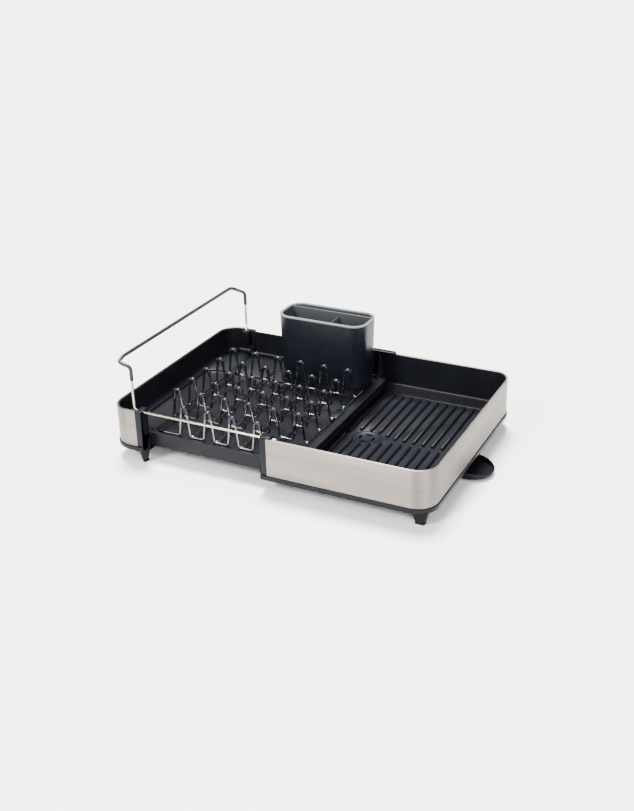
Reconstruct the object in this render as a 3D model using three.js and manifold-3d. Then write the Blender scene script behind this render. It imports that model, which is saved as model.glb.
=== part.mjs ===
// Expandable dish drying rack: a fixed outer tray, an inner tray that telescopes out of it, a wire
// plate rack, a cutlery holder and a swivelling drain spout.
// Millimetres, +Z up. Built with x = 0 on the outer tray's end face and moved to the origin last.

import * as THREE from 'three';
import { mergeVertices } from 'three/addons/utils/BufferGeometryUtils.js';
import Module from 'manifold-3d';

const wasm = await Module();
wasm.setup();

// ---------------------------------------------------------------- driving dimensions
const TRAY_DEPTH = 364;          // outside of the steel, front to back
const OUTER_LENGTH = 266;        // outer tray, open end to end face
const END_LENGTH = 58;           // closed end of the inner tray
const OVERLAP = 54.5;            // inner tray still inside the outer one when pulled out
const CLOSED_GAP = 0.6;          // left between the two trays when closed
const RIM_Z = 88.4;              // top of the steel
const BAND_FOOT_Z = 28.5;        // bottom edge of the steel
const BAND_T = 1.0;
const LIP_WIDTH = 3.6;           // hemmed top of the steel, measured from outside
const CORNER_R = 32;
const GAP = 0.3;                 // between pieces that touch
const WALL_T = 3;                // moulded side wall
const TRIM_Z = 21.5;               // underside of the moulded skirting
const TRIM_PROUD = 1.8;          // how far it stands out past the steel
const PAN_Z = 16;                // underside of both trays
const PAN_INSET = 14;            // slope of the underside
const POST_WIDTH = 10;
const POST_DEPTH = 20;

const OUTER_FLOOR_Z = 21;
const RISER_TOP_Z = 34.5;        // sloped skirting inside the outer tray
const RISER_RUN = 14.5;
const SADDLE_LENGTH = 64;        // guide over the back wall
const SADDLE_T = 2.5;
const SADDLE_LIP = 1.5;
const SADDLE_DROP = 8;
const GUIDE_OVERHANG = 7;        // rail clip past the end post
const GUIDE_DEPTH = 8;
const GUIDE_DROP = 6;            // clip below the rail's centre line
const GUIDE_T = 2.7;
const RIB_START = 24;            // first rib from the end face
const RIB_PITCH = 15.5;
const RIB_HEIGHT = 4.5;
const RIB_TOP = 3;
const RIB_FOOT = 6;
const RIB_CLEAR = 6;             // rib ends to the tray's middle line
const RIB_END_MARGIN = 7;        // rib ends to the sloped skirting
const PIP_R = 1.9;
const PIP_HEIGHT = 1.2;

const DRAIN_X = -177;            // strainer and spout axis, from the end face
const DRAIN_HOLE_R = 14;
const STRAINER_R = 22;
const STRAINER_T = 2;
const STRAINER_SLOT = 3.4;
const STRAINER_SLOT_EDGE = 1.2;  // slots to the drain hole's edge
const STRAINER_SLOT_SPAN = 58;   // degrees
const STRAINER_SLOTS = 4;
const RIB_RING_R = 34;           // ribs stop round an oval this far from the drain axis
const RIB_RING_SQUASH = 0.62;
const NECK_R = 16;
const NECK_FOOT_Z = 9;

const FLOOR_Z = 45;              // inner tray's border, where the rack and holder rest
const FLOOR_T = 7;
const BASIN_DEPTH = 4;
const BASIN_R = 20;
const BASIN_LEFT = 15;           // basin edge from the inner tray's end face
const BASIN_FRONT = 14;          // basin edge from the front ledge's edge
const BASIN_BACK = 11;           // basin edge in front of the cutlery holder
const BASIN_RIGHT = 1.5;         // basin edge from the raised strip
const LEDGE_INSET = 22;          // inner tray's front edge, between its posts, from the steel
const LEDGE_R = 8;
const SKIRT_T = 2.8;
const SKIRT_FOOT_Z = 22.5;
const STRIP_WIDTH = 15.5;        // raised edge of the inner tray
const STRIP_RISE = 3;
const TONGUE_RISE = 5;
const TONGUE_REACH = 7;          // tongue past the rack's edge wire
const TONGUE_R = 4;
const SLIDE_GAP = 0.5;           // inner back wall to outer wall
const STOP_GAP = 2.2;            // inner tray's edge to the end wall when closed
const OUTLET_WIDTH = 24;
const OUTLET_HEIGHT = 3;
const OUTLET_REACH = 12;         // outlet into the basin, from the raised strip
const SOCKET_Z = 64;             // underside of the handle leg's socket
const SOCKET_DEPTH = 11;
const SOCKET_MARGIN = 7;         // socket past the leg's centre line
const RAIL_BOSS = 12;            // boss under the rail's free end

const RAIL_R = 2;                // support wire
const RAIL_CLEAR = 1.7;          // from the outer tray's wall to the wire
const RAIL_Z = 86;
const RAIL_END = 28;             // rail past the outer tray's open end
const LEG_INSET = 43;            // handle leg from the tray's end
const HANDLE_INSET = 21;         // handle bar from the tray's end
const HANDLE_Z = 167;
const HANDLE_KNEE_Z = 158;
const HANDLE_BEND = 14;          // handle's sloping ends, front to back
const SUPPORT_BEND_R = 7;
const LEG_FOOT_Z = 68;           // rear leg's lower end
const SLEEVE_WALL = 0.6;
const SLEEVE_FOOT_Z = 135;

const WIRE_R = 1.8;              // plate rack
const TIP_COAT = 0.9;
const PRONG_BEND_R = 4;
const LOOP_BEND_R = 6;
const PRONG_PITCH_X = 42.5;
const PRONG_COLUMNS = 6;
const PRONG_ROWS = 5;            // full rows behind the front one
const PRONG_TOP_Z = 98;
const PRONG_FOOT = 9.6;          // half the spread of a prong at its foot
const PRONG_HEAD = 3.9;          // half the spread at its head
const TIP_LENGTH = 12;
const LAST_COLUMN = 31;          // last column of prongs from the inner tray's edge
const FRONT_ROW = 8;             // front row from the inner tray's front edge
const FIRST_ROW = 50;            // first full row behind the front one
const LAST_ROW = 22;             // last row from the wires' ends
const HOLDER_CLEAR = 3;          // wire ends in front of the cutlery holder
const RACK_SIDE_REACH = 14;      // wire ends beside it, past its front
const EDGE_REACH = 9;            // edge wire past the other wires

const HOLDER_LENGTH = 158;
const HOLDER_DEPTH = 71;
const HOLDER_R = 24;
const HOLDER_TOP_Z = 160;
const HOLDER_BACK_GAP = 6.4;     // holder to the inner tray's back wall
const HOLDER_WALL = 2.2;
const FLANGE_T = 2.7;
const LINER_GAP = 0.8;
const LINER_WALL = 1.8;
const LINER_FLOOR_Z = 70;
const KNIFE_SLOT = 11;
const KNIFE_WALL = 2.8;
const DIVIDER_T = 1.8;
const DIVIDER_SHIFT = 12;        // divider from the holder's middle
const DIVIDER_DROP = 8;          // divider's top below the flange
const HOLDER_STEP = 3;           // foot of the holder, in from its side and up
const HOLDER_FLOOR = 2.5;
const HOLDER_RECESS = 8;         // hollow under the holder, in from its side
const HOLDER_SLOTS = 5;
const HOLDER_SLOT_PITCH = 24;
const HOLDER_SLOT_WIDTH = 6;
const HOLDER_SLOT_LENGTH = 36;
const HOLDER_SIDE_GAP = 1;       // holder from the raised strip

const SPOUT_REACH = 208;         // drain axis to the spout's lip
const SPOUT_HALF = 33;
const SPOUT_HUB_R = 27;
const SPOUT_WALL = 2.2;
const SPOUT_FOOT_Z = 3;
const SPOUT_TOP_Z = 14.2;
const SPOUT_LIP_Z = 7;
const SPOUT_LIP_LENGTH = 42;     // rounded end of the spout
const SPOUT_BLUNT = 0.9;         // 1 is an ellipse, less is squarer
const SPOUT_BORE = 6;            // cover's bore past the drain's neck
const SEAL_T = 2.4;
const SEAL_HEIGHT = 2;
const SEAL_DROP = 1.5;           // seal below the spout's cover
const COLLAR_HEIGHT = 5;

const FOOT_TOP = 24;             // moulded feet, along the tray
const FOOT_BOTTOM = 15;
const FOOT_SQUASH = 0.66;        // across over along
const FOOT_INBOARD_X = 13;       // feet under the open end
const FOOT_INBOARD_INSET = 60;
const BACK_CORNER_SHARE = 0.42;  // where the inner tray's tall back wall ends in its corner
const FOOT_CORNER_X = 0.62;      // corner feet, as parts of the corner radius
const FOOT_CORNER_Y = 0.42;
const FOOT_ROOT = 4;             // feet into the tray's underside
const BLADE_WIDTH = 0.62;        // inner tray's feet, as parts of the post
const BLADE_DEPTH = 0.55;
const BLADE_TOP = 0.9;
const BLADE_SHIFT = 1;
const PAD_T = 2;
const PAD_R = 2;
const PAST = 1;                  // cutting tools run this far past what they cut
const ARC_STEPS = 8;
const WIRE_SIDES = 3;            // curve divisions, which give twice as many sides

// ---------------------------------------------------------------- places worked out from them
const HALF = TRAY_DEPTH / 2;
const WALL_OUT = BAND_T + GAP;
const WALL_IN = WALL_OUT + WALL_T;
const OPEN_X = -OUTER_LENGTH;
const INNER_EDGE_X = OPEN_X + OVERLAP;
const TRAVEL = -INNER_EDGE_X - WALL_IN - STOP_GAP;    // how far the inner tray pulls out
const END_X = OPEN_X - CLOSED_GAP - TRAVEL - END_LENGTH;
const POST_X = END_X + END_LENGTH;
const WALL_TOP_Z = RIM_Z - BAND_T - GAP;
const BACK_WALL_Y = HALF - WALL_IN - SLIDE_GAP;
const RAIL_Y = HALF - WALL_IN - RAIL_CLEAR - RAIL_R;
const SLEEVE_R = RAIL_R + GAP + SLEEVE_WALL;
const LEDGE_Y = LEDGE_INSET - HALF;
const STRIP_X = INNER_EDGE_X - STRIP_WIDTH;
const HOLDER_BACK_Y = BACK_WALL_Y - SKIRT_T - HOLDER_BACK_GAP;
const HOLDER_FRONT_Y = HOLDER_BACK_Y - HOLDER_DEPTH;
const HOLDER_RIGHT_X = STRIP_X - HOLDER_SIDE_GAP;
const BASIN_BACK_Y = HOLDER_FRONT_Y - BASIN_BACK;
const FRONT_ROW_Y = LEDGE_Y + FRONT_ROW;
const FIRST_ROW_Y = FRONT_ROW_Y + FIRST_ROW;
const RACK_BACK_Y = HOLDER_FRONT_Y - HOLDER_CLEAR;
const RACK_SIDE_Y = HOLDER_FRONT_Y + RACK_SIDE_REACH;
const PRONG_PITCH_Y = (RACK_BACK_Y - LAST_ROW - FIRST_ROW_Y) / (PRONG_ROWS - 1);
const TIP_R = WIRE_R + TIP_COAT;
const STRAINER_SLOT_R = DRAIN_HOLE_R - STRAINER_SLOT_EDGE - STRAINER_SLOT / 2;
const ROW_TAIL = 2 * WIRE_R + 1.4;
const LAST_COLUMN_X = INNER_EDGE_X - LAST_COLUMN;
const EDGE_WIRE_X = LAST_COLUMN_X + PRONG_FOOT + WIRE_R;
const LOOP_WIRE_X = LAST_COLUMN_X - (PRONG_COLUMNS - 1) * PRONG_PITCH_X - PRONG_FOOT + WIRE_R;
const BASE_WIRE_Z = FLOOR_Z + GAP + WIRE_R;
const ROW_WIRE_Z = BASE_WIRE_Z + 2 * WIRE_R + GAP;

// ---------------------------------------------------------------- solids
function toSolid(geometry) {
  const bare = geometry.index ? geometry.toNonIndexed() : geometry.clone();
  bare.deleteAttribute('normal');
  bare.deleteAttribute('uv');
  const merged = mergeVertices(bare, 1e-4);
  const vertProperties = new Float32Array(merged.attributes.position.array);
  const triVerts = new Uint32Array(merged.index.array);
  return new wasm.Manifold(new wasm.Mesh({ numProp: 3, vertProperties, triVerts }));
}

function toGeometry(solid) {
  const mesh = solid.getMesh();
  const geometry = new THREE.BufferGeometry();
  geometry.setAttribute('position', new THREE.BufferAttribute(mesh.vertProperties, 3));
  geometry.setIndex(new THREE.BufferAttribute(mesh.triVerts, 1));
  geometry.computeVertexNormals();
  return geometry;
}

function join(first, ...others) {
  return others.reduce((sum, solid) => sum.add(solid), first);
}

function cut(body, ...tools) {
  return tools.reduce((rest, tool) => rest.subtract(tool), body);
}

function prism(outline, lowZ, highZ, holes = []) {
  const shape = new THREE.Shape(outline);
  shape.holes = holes.map((hole) => new THREE.Path(hole));
  const geometry = new THREE.ExtrudeGeometry(shape, { depth: highZ - lowZ, bevelEnabled: false });
  geometry.translate(0, 0, lowZ);
  return toSolid(geometry);
}

function box(lowX, highX, lowY, highY, lowZ, highZ) {
  const geometry = new THREE.BoxGeometry(highX - lowX, highY - lowY, highZ - lowZ);
  geometry.translate((lowX + highX) / 2, (lowY + highY) / 2, (lowZ + highZ) / 2);
  return toSolid(geometry);
}

// A solid between two outlines of the same point count, one above the other.
function loft(low, lowZ, high, highZ) {
  const count = low.length;
  const positions = [];
  low.forEach((p) => positions.push(p.x, p.y, lowZ));
  high.forEach((p) => positions.push(p.x, p.y, highZ));
  const index = [];
  for (let i = 0; i < count; i += 1) {
    const next = (i + 1) % count;
    index.push(i, next, count + next);
    index.push(i, count + next, count + i);
  }
  THREE.ShapeUtils.triangulateShape(low, []).forEach(([a, b, c]) => index.push(a, c, b));
  THREE.ShapeUtils.triangulateShape(high, []).forEach(([a, b, c]) => {
    index.push(count + a, count + b, count + c);
  });
  const geometry = new THREE.BufferGeometry();
  geometry.setAttribute('position', new THREE.Float32BufferAttribute(positions, 3));
  geometry.setIndex(index);
  return toSolid(geometry);
}

function ring(centreX, centreY, innerR, outerR, lowZ, highZ) {
  const profile = [
    new THREE.Vector2(innerR, lowZ),
    new THREE.Vector2(outerR, lowZ),
    new THREE.Vector2(outerR, highZ),
    new THREE.Vector2(innerR, highZ),
    new THREE.Vector2(innerR, lowZ),
  ];
  const geometry = new THREE.LatheGeometry(profile, 4 * ARC_STEPS);
  geometry.rotateX(Math.PI / 2);
  geometry.translate(centreX, centreY, 0);
  return toSolid(geometry);
}

function disc(centreX, centreY, radius, lowZ, highZ) {
  const geometry = new THREE.CylinderGeometry(radius, radius, highZ - lowZ, 4 * ARC_STEPS);
  geometry.rotateX(Math.PI / 2);
  geometry.translate(centreX, centreY, (lowZ + highZ) / 2);
  return toSolid(geometry);
}

// ---------------------------------------------------------------- outlines
function arc(centreX, centreY, radius, fromDegrees, toDegrees, steps = ARC_STEPS) {
  const curve = new THREE.EllipseCurve(
    centreX, centreY, radius, radius,
    THREE.MathUtils.degToRad(fromDegrees), THREE.MathUtils.degToRad(toDegrees),
    toDegrees < fromDegrees,
  );
  return curve.getPoints(steps);
}

// Plan of a tray end: straight across at openX, rounded corners at the outer tray's end face.
function outerPlan(inset, openX = OPEN_X) {
  const half = HALF - inset;
  const radius = CORNER_R - inset;
  return [
    new THREE.Vector2(openX, -half),
    ...arc(-inset - radius, -half + radius, radius, -90, 0),
    ...arc(-inset - radius, half - radius, radius, 0, 90),
    new THREE.Vector2(openX, half),
  ];
}

// The same for the inner tray's closed end.
function innerEndPlan(inset, openX = POST_X) {
  const half = HALF - inset;
  const radius = CORNER_R - inset;
  const left = END_X + inset + radius;
  return [
    new THREE.Vector2(openX, half),
    ...arc(left, half - radius, radius, 90, 180),
    ...arc(left, -half + radius, radius, 180, 270),
    new THREE.Vector2(openX, -half),
  ];
}

// Plan of the part of the inner tray that slides inside the outer one.
function slidingPlan(inset = 0, openX = POST_X - SKIRT_T) {
  const frontR = LEDGE_R - Math.min(inset, WALL_T);
  const backR = CORNER_R - WALL_IN - SLIDE_GAP - inset;
  const right = INNER_EDGE_X - inset;
  const back = BACK_WALL_Y - inset;
  const front = LEDGE_Y + inset;
  return [
    new THREE.Vector2(openX, front),
    ...arc(right - frontR, front + frontR, frontR, -90, 0, 4),
    ...arc(right - backR, back - backR, backR, 0, 90),
    new THREE.Vector2(openX, back),
  ];
}

function roundedRectangle(lowX, highX, lowY, highY, radius, steps = ARC_STEPS) {
  return [
    ...arc(highX - radius, lowY + radius, radius, -90, 0, steps),
    ...arc(highX - radius, highY - radius, radius, 0, 90, steps),
    ...arc(lowX + radius, highY - radius, radius, 90, 180, steps),
    ...arc(lowX + radius, lowY + radius, radius, 180, 270, steps),
  ];
}

function rectangle(centreX, centreY, sizeX, sizeY) {
  return [
    new THREE.Vector2(centreX - sizeX / 2, centreY - sizeY / 2),
    new THREE.Vector2(centreX + sizeX / 2, centreY - sizeY / 2),
    new THREE.Vector2(centreX + sizeX / 2, centreY + sizeY / 2),
    new THREE.Vector2(centreX - sizeX / 2, centreY + sizeY / 2),
  ];
}

// ---------------------------------------------------------------- bent wire
// A path through given stations, each of which becomes one section of the wire.
class WirePath extends THREE.Curve {
  constructor(stations) {
    super();
    this.stations = stations;
  }

  getPointAt(u, target = new THREE.Vector3()) {
    return target.copy(this.stations[Math.round(u * (this.stations.length - 1))]);
  }

  getPoint(t, target) {
    return this.getPointAt(t, target);
  }

  getTangentAt(u, target = new THREE.Vector3()) {
    const last = this.stations.length - 1;
    const i = Math.round(u * last);
    const ahead = this.stations[Math.min(i + 1, last)];
    const behind = this.stations[Math.max(i - 1, 0)];
    return target.subVectors(ahead, behind).normalize();
  }
}

// Corner points become stations on arcs of the given radius.
function bend(corners, radius, steps = 3) {
  const stations = [corners[0].clone()];
  for (let i = 1; i < corners.length - 1; i += 1) {
    const here = corners[i];
    const back = corners[i - 1].clone().sub(here);
    const on = corners[i + 1].clone().sub(here);
    const half = back.angleTo(on) / 2;
    const room = 0.49 * Math.min(back.length(), on.length());
    const reach = Math.min(radius / Math.tan(half), room);
    const start = here.clone().addScaledVector(back.normalize(), reach);
    const end = here.clone().addScaledVector(on.normalize(), reach);
    const curve = new THREE.QuadraticBezierCurve3(start, here, end);
    stations.push(...curve.getPoints(steps));
  }
  stations.push(corners[corners.length - 1].clone());
  return stations;
}

function wire(stations, radius, boreRadius = 0) {
  const section = new THREE.Shape();
  section.absarc(0, 0, radius, 0, 2 * Math.PI, false);
  if (boreRadius > 0) {
    const bore = new THREE.Path();
    bore.absarc(0, 0, boreRadius, 0, 2 * Math.PI, true);
    section.holes.push(bore);
  }
  const geometry = new THREE.ExtrudeGeometry(section, {
    steps: stations.length - 1,
    curveSegments: WIRE_SIDES,
    extrudePath: new WirePath(stations),
  });
  return toSolid(geometry);
}

// ---------------------------------------------------------------- outer tray
function outerShell() {
  const past = OPEN_X - PAST;
  const pan = loft(outerPlan(PAN_INSET), PAN_Z, outerPlan(-TRIM_PROUD), TRIM_Z);
  const trim = prism(outerPlan(-TRIM_PROUD), TRIM_Z, BAND_FOOT_Z - GAP);
  const wall = prism(outerPlan(WALL_OUT), TRIM_Z, WALL_TOP_Z);
  const hollow = prism(outerPlan(WALL_IN, past), OUTER_FLOOR_Z, RIM_Z + PAST);
  const riser = cut(
    prism(outerPlan(WALL_IN), OUTER_FLOOR_Z - PAST, RISER_TOP_Z),
    loft(outerPlan(WALL_IN + RISER_RUN, past), OUTER_FLOOR_Z, outerPlan(WALL_IN, past), RISER_TOP_Z),
  );
  const posts = [-1, 1].map((side) => {
    const low = side < 0 ? -HALF : HALF - WALL_IN;
    return box(OPEN_X, OPEN_X + POST_WIDTH, low, low + WALL_IN, TRIM_Z, RIM_Z);
  });
  const tray = join(cut(join(pan, trim, wall), hollow), riser, ...posts);
  return join(tray, ...drainRibs());
}

function drainRibs() {
  const solids = [];
  const farY = HALF - WALL_IN - RISER_RUN - RIB_END_MARGIN;
  const top = OUTER_FLOOR_Z + RIB_HEIGHT;
  for (let x = -RIB_START; x > OPEN_X + RIB_FOOT; x -= RIB_PITCH) {
    const offset = Math.abs(x - DRAIN_X);
    const ringY = offset < RIB_RING_R ? Math.sqrt(RIB_RING_R ** 2 - offset ** 2) : 0;
    const nearY = Math.max(RIB_CLEAR, ringY * RIB_RING_SQUASH);
    for (const side of [-1, 1]) {
      const middle = side * (nearY + farY) / 2;
      const length = farY - nearY;
      const low = rectangle(x, middle, RIB_FOOT, length);
      const high = rectangle(x, middle, RIB_TOP, length - (RIB_FOOT - RIB_TOP));
      solids.push(loft(low, OUTER_FLOOR_Z - PAST, high, top));
    }
    if (ringY < STRAINER_R) {
      const pipY = nearY - 2 * PIP_R;
      solids.push(disc(x, pipY, PIP_R, OUTER_FLOOR_Z - PAST, OUTER_FLOOR_Z + PIP_HEIGHT));
    }
  }
  return solids;
}

function outerTray() {
  const seatZ = OUTER_FLOOR_Z - STRAINER_T - GAP;
  const overRibs = OUTER_FLOOR_Z + 2 * RIB_HEIGHT;
  const seat = disc(DRAIN_X, 0, STRAINER_R + GAP, seatZ, overRibs);
  const hole = disc(DRAIN_X, 0, DRAIN_HOLE_R, NECK_FOOT_Z - PAST, overRibs);
  const neck = disc(DRAIN_X, 0, NECK_R, NECK_FOOT_Z, PAN_Z + PAST);
  const feet = [-1, 1].flatMap(outerFeet).map(outerFoot);
  return cut(join(outerShell(), neck, ...feet), seat, hole);
}

// Steel skin with a hemmed top, between its two end posts.
function steelBand(plan, postEdgeX) {
  const past = postEdgeX + (postEdgeX < POST_X ? PAST : -PAST);
  return cut(
    prism(plan(0, postEdgeX), BAND_FOOT_Z, RIM_Z),
    prism(plan(BAND_T, past), BAND_FOOT_Z - PAST, RIM_Z - BAND_T),
    prism(plan(LIP_WIDTH, past), RIM_Z - 2 * BAND_T, RIM_Z + PAST),
  );
}

function strainer() {
  const slots = [];
  for (let slot = 0; slot < STRAINER_SLOTS; slot += 1) {
    const from = 360 * slot / STRAINER_SLOTS - STRAINER_SLOT_SPAN / 2;
    const to = from + STRAINER_SLOT_SPAN;
    const outline = [
      ...arc(DRAIN_X, 0, STRAINER_SLOT_R + STRAINER_SLOT / 2, from, to),
      ...arc(DRAIN_X, 0, STRAINER_SLOT_R - STRAINER_SLOT / 2, to, from),
    ];
    slots.push(prism(outline, OUTER_FLOOR_Z - STRAINER_T - PAST, OUTER_FLOOR_Z + PAST));
  }
  return cut(disc(DRAIN_X, 0, STRAINER_R, OUTER_FLOOR_Z - STRAINER_T, OUTER_FLOOR_Z), ...slots);
}

// Clip on the front post that the support wire slides through.
function railGuide() {
  const low = OPEN_X + GAP;
  const high = low + POST_WIDTH + GUIDE_OVERHANG;
  const outside = WALL_IN - HALF + GAP;
  const inside = outside + GUIDE_DEPTH;
  const top = RIM_Z + GAP + GUIDE_T;
  const plate = box(low, high, -HALF, inside, RIM_Z + GAP, top);
  const block = box(low, high, outside, inside, RAIL_Z - GUIDE_DROP, top);
  const bore = wire([
    new THREE.Vector3(low - PAST, -RAIL_Y, RAIL_Z),
    new THREE.Vector3(high + PAST, -RAIL_Y, RAIL_Z),
  ], RAIL_R + 2 * GAP);
  return cut(join(plate, block), bore);
}

// Saddle on the back wall that keeps the inner tray's back wall from lifting.
function wallGuide() {
  const low = OPEN_X + GAP;
  const high = low + SADDLE_LENGTH;
  const inside = BACK_WALL_Y - SKIRT_T - PAST;
  const outside = HALF + GAP;
  const back = outside + SADDLE_LIP;
  const corner = 2 * SADDLE_LIP;
  const outline = roundedRectangle(low, high, inside, back, corner);
  const top = prism(outline, RIM_Z + GAP, RIM_Z + GAP + SADDLE_T);
  const lip = box(low + corner, high - corner, outside, back, RIM_Z - SADDLE_DROP, RIM_Z + PAST);
  return join(top, lip);
}

// Corner feet, and inboard ones that carry the open end.
function outerFeet(side) {
  return [
    new THREE.Vector2(-CORNER_R * FOOT_CORNER_X, side * (HALF - CORNER_R * FOOT_CORNER_Y)),
    new THREE.Vector2(OPEN_X + FOOT_INBOARD_X, side * (HALF - FOOT_INBOARD_INSET)),
  ];
}

function outerFoot(place) {
  const top = rectangle(place.x, place.y, FOOT_TOP, FOOT_TOP * FOOT_SQUASH);
  const bottom = rectangle(place.x, place.y, FOOT_BOTTOM, FOOT_BOTTOM * FOOT_SQUASH);
  return loft(bottom, PAD_T + GAP, top, PAN_Z + FOOT_ROOT);
}

// ---------------------------------------------------------------- inner tray
function innerEnd() {
  const past = POST_X + PAST;
  const pan = loft(innerEndPlan(PAN_INSET), PAN_Z, innerEndPlan(-TRIM_PROUD), TRIM_Z);
  const trim = prism(innerEndPlan(-TRIM_PROUD), TRIM_Z, BAND_FOOT_Z - GAP);
  const wall = prism(innerEndPlan(WALL_OUT), TRIM_Z, WALL_TOP_Z);
  const under = prism(innerEndPlan(WALL_IN, past), PAN_Z + WALL_T, FLOOR_Z - FLOOR_T);
  const over = prism(innerEndPlan(WALL_IN, past), FLOOR_Z, RIM_Z + PAST);
  return cut(join(pan, trim, wall), under, over);
}

function slidingPart() {
  const floor = prism(slidingPlan(), FLOOR_Z - FLOOR_T, FLOOR_Z);
  const skirtLow = RISER_TOP_Z + PAST;
  const around = cut(
    prism(slidingPlan(), skirtLow, WALL_TOP_Z),
    prism(slidingPlan(SKIRT_T), RISER_TOP_Z, WALL_TOP_Z + PAST),
  );
  const keepLow = box(END_X, 0, -HALF, HALF, RISER_TOP_Z, FLOOR_Z);
  const cornerX = INNER_EDGE_X - CORNER_R * BACK_CORNER_SHARE;
  const keepBack = box(END_X, cornerX, HOLDER_BACK_Y, HALF, RISER_TOP_Z, WALL_TOP_Z + PAST);
  const border = around.intersect(join(keepLow, keepBack));
  const skirtEnd = INNER_EDGE_X - RISER_RUN - STOP_GAP;
  const skirt = box(POST_X - SKIRT_T, skirtEnd, LEDGE_Y, LEDGE_Y + SKIRT_T, SKIRT_FOOT_Z, FLOOR_Z);
  const strip = prism(slidingPlan(), FLOOR_Z - PAST, FLOOR_Z + STRIP_RISE).intersect(
    box(STRIP_X, 0, -HALF, HALF, FLOOR_Z - PAST, FLOOR_Z + STRIP_RISE),
  );
  return join(floor, border, skirt, strip);
}

// Raised tongue in the edge between the third and fourth rows, which locates the rack.
function tonguePlan() {
  const beside = 2.5 * WIRE_R;
  const low = FIRST_ROW_Y + 2 * PRONG_PITCH_Y + beside;
  const high = FIRST_ROW_Y + 3 * PRONG_PITCH_Y - beside;
  return roundedRectangle(EDGE_WIRE_X - TONGUE_REACH, STRIP_X + TONGUE_R, low, high, TONGUE_R);
}

function innerPost(side) {
  const low = side < 0 ? -HALF : HALF - POST_DEPTH;
  const post = box(POST_X - POST_WIDTH, POST_X, low, low + POST_DEPTH, TRIM_Z - PAST, RIM_Z);
  const blade = loft(
    bladePlan(side), PAD_T + GAP,
    rectangle(POST_X - POST_WIDTH / 2, low + POST_DEPTH / 2, POST_WIDTH, POST_DEPTH * BLADE_TOP), TRIM_Z,
  );
  const socketLeft = END_X + LEG_INSET - SOCKET_MARGIN;
  const socketRight = POST_X - POST_WIDTH + PAST;
  const inside = HALF - WALL_IN + PAST;
  const socketLow = side < 0 ? -inside : inside - SOCKET_DEPTH;
  const socketHigh = socketLow + SOCKET_DEPTH;
  const socket = box(socketLeft, socketRight, socketLow, socketHigh, SOCKET_Z, WALL_TOP_Z);
  return join(post, blade, socket);
}

// Outline of the inner tray's foot where it meets its pad.
function bladePlan(side) {
  const centreX = POST_X - POST_WIDTH / 2 + BLADE_SHIFT;
  const centreY = side * (HALF - POST_DEPTH / 2);
  return rectangle(centreX, centreY, POST_WIDTH * BLADE_WIDTH, POST_DEPTH * BLADE_DEPTH);
}

function innerTray() {
  const basin = roundedRectangle(
    END_X + BASIN_LEFT, STRIP_X - BASIN_RIGHT, LEDGE_Y + BASIN_FRONT, BASIN_BACK_Y, BASIN_R,
  );
  const basinFloor = FLOOR_Z - BASIN_DEPTH;
  const bossX = OPEN_X + RAIL_END;
  const railBoss = box(
    bossX - RAIL_BOSS / 2, bossX + RAIL_BOSS / 2, -RAIL_Y - RAIL_R - PAST, LEDGE_Y + PAST,
    FLOOR_Z - FLOOR_T, FLOOR_Z + FLOOR_T,
  );
  const tray = join(
    innerEnd(), slidingPart(), innerPost(-1), innerPost(1), railBoss,
    prism(tonguePlan(), FLOOR_Z - PAST, FLOOR_Z + TONGUE_RISE),
  );
  const outlet = box(
    STRIP_X - OUTLET_REACH, INNER_EDGE_X + PAST,
    -OUTLET_WIDTH / 2, OUTLET_WIDTH / 2, basinFloor, basinFloor + OUTLET_HEIGHT,
  );
  const rearPassage = box(
    POST_X - POST_WIDTH - PAST, POST_X + PAST,
    HALF - POST_DEPTH - PAST, BACK_WALL_Y - SKIRT_T, FLOOR_Z, RIM_Z + PAST,
  );
  const body = cut(tray, prism(basin, basinFloor, FLOOR_Z + 0.01), outlet, rearPassage);
  const clearance = wire(supportStations(), RAIL_R + GAP);
  return cut(join(body, tongueOverBasin(basinFloor)), clearance);
}

// The tongue's underside over the basin, kept above the outlet.
function tongueOverBasin(basinFloor) {
  return prism(tonguePlan(), basinFloor + OUTLET_HEIGHT, FLOOR_Z + TONGUE_RISE);
}

// Front rail, handle and rear leg are one bent wire.
function supportCorners() {
  const legX = END_X + LEG_INSET;
  const barX = END_X + HANDLE_INSET;
  const endX = OPEN_X + RAIL_END;
  const kneeZ = (HANDLE_KNEE_Z + HANDLE_Z) / 2;
  return [
    new THREE.Vector3(endX, -RAIL_Y, FLOOR_Z - RAIL_R),
    new THREE.Vector3(endX, -RAIL_Y, RAIL_Z),
    new THREE.Vector3(legX, -RAIL_Y, RAIL_Z),
    new THREE.Vector3(legX, -RAIL_Y, HANDLE_KNEE_Z),
    new THREE.Vector3(barX, -RAIL_Y, kneeZ),
    new THREE.Vector3(barX, HANDLE_BEND - RAIL_Y, HANDLE_Z),
    new THREE.Vector3(barX, RAIL_Y - HANDLE_BEND, HANDLE_Z),
    new THREE.Vector3(barX, RAIL_Y, kneeZ),
    new THREE.Vector3(legX, RAIL_Y, HANDLE_KNEE_Z),
    new THREE.Vector3(legX, RAIL_Y, LEG_FOOT_Z),
  ];
}

function supportStations() {
  return bend(supportCorners(), SUPPORT_BEND_R, 4);
}

function sleeveStations() {
  const corners = supportCorners().slice(2);
  corners[0] = corners[1].clone().setZ(SLEEVE_FOOT_Z);
  corners[corners.length - 1].setZ(SLEEVE_FOOT_Z);
  return bend(corners, SUPPORT_BEND_R, 4);
}

// ---------------------------------------------------------------- plate rack
function columnX(column) {
  return LAST_COLUMN_X - column * PRONG_PITCH_X;
}

// Corner points of one prong, left foot to right foot.
function prongCorners(x, y, footZ) {
  const headZ = PRONG_TOP_Z - TIP_R;
  return [
    new THREE.Vector3(x - PRONG_FOOT, y, footZ),
    new THREE.Vector3(x - PRONG_HEAD, y, headZ),
    new THREE.Vector3(x + PRONG_HEAD, y, headZ),
    new THREE.Vector3(x + PRONG_FOOT, y, footZ),
  ];
}

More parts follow.
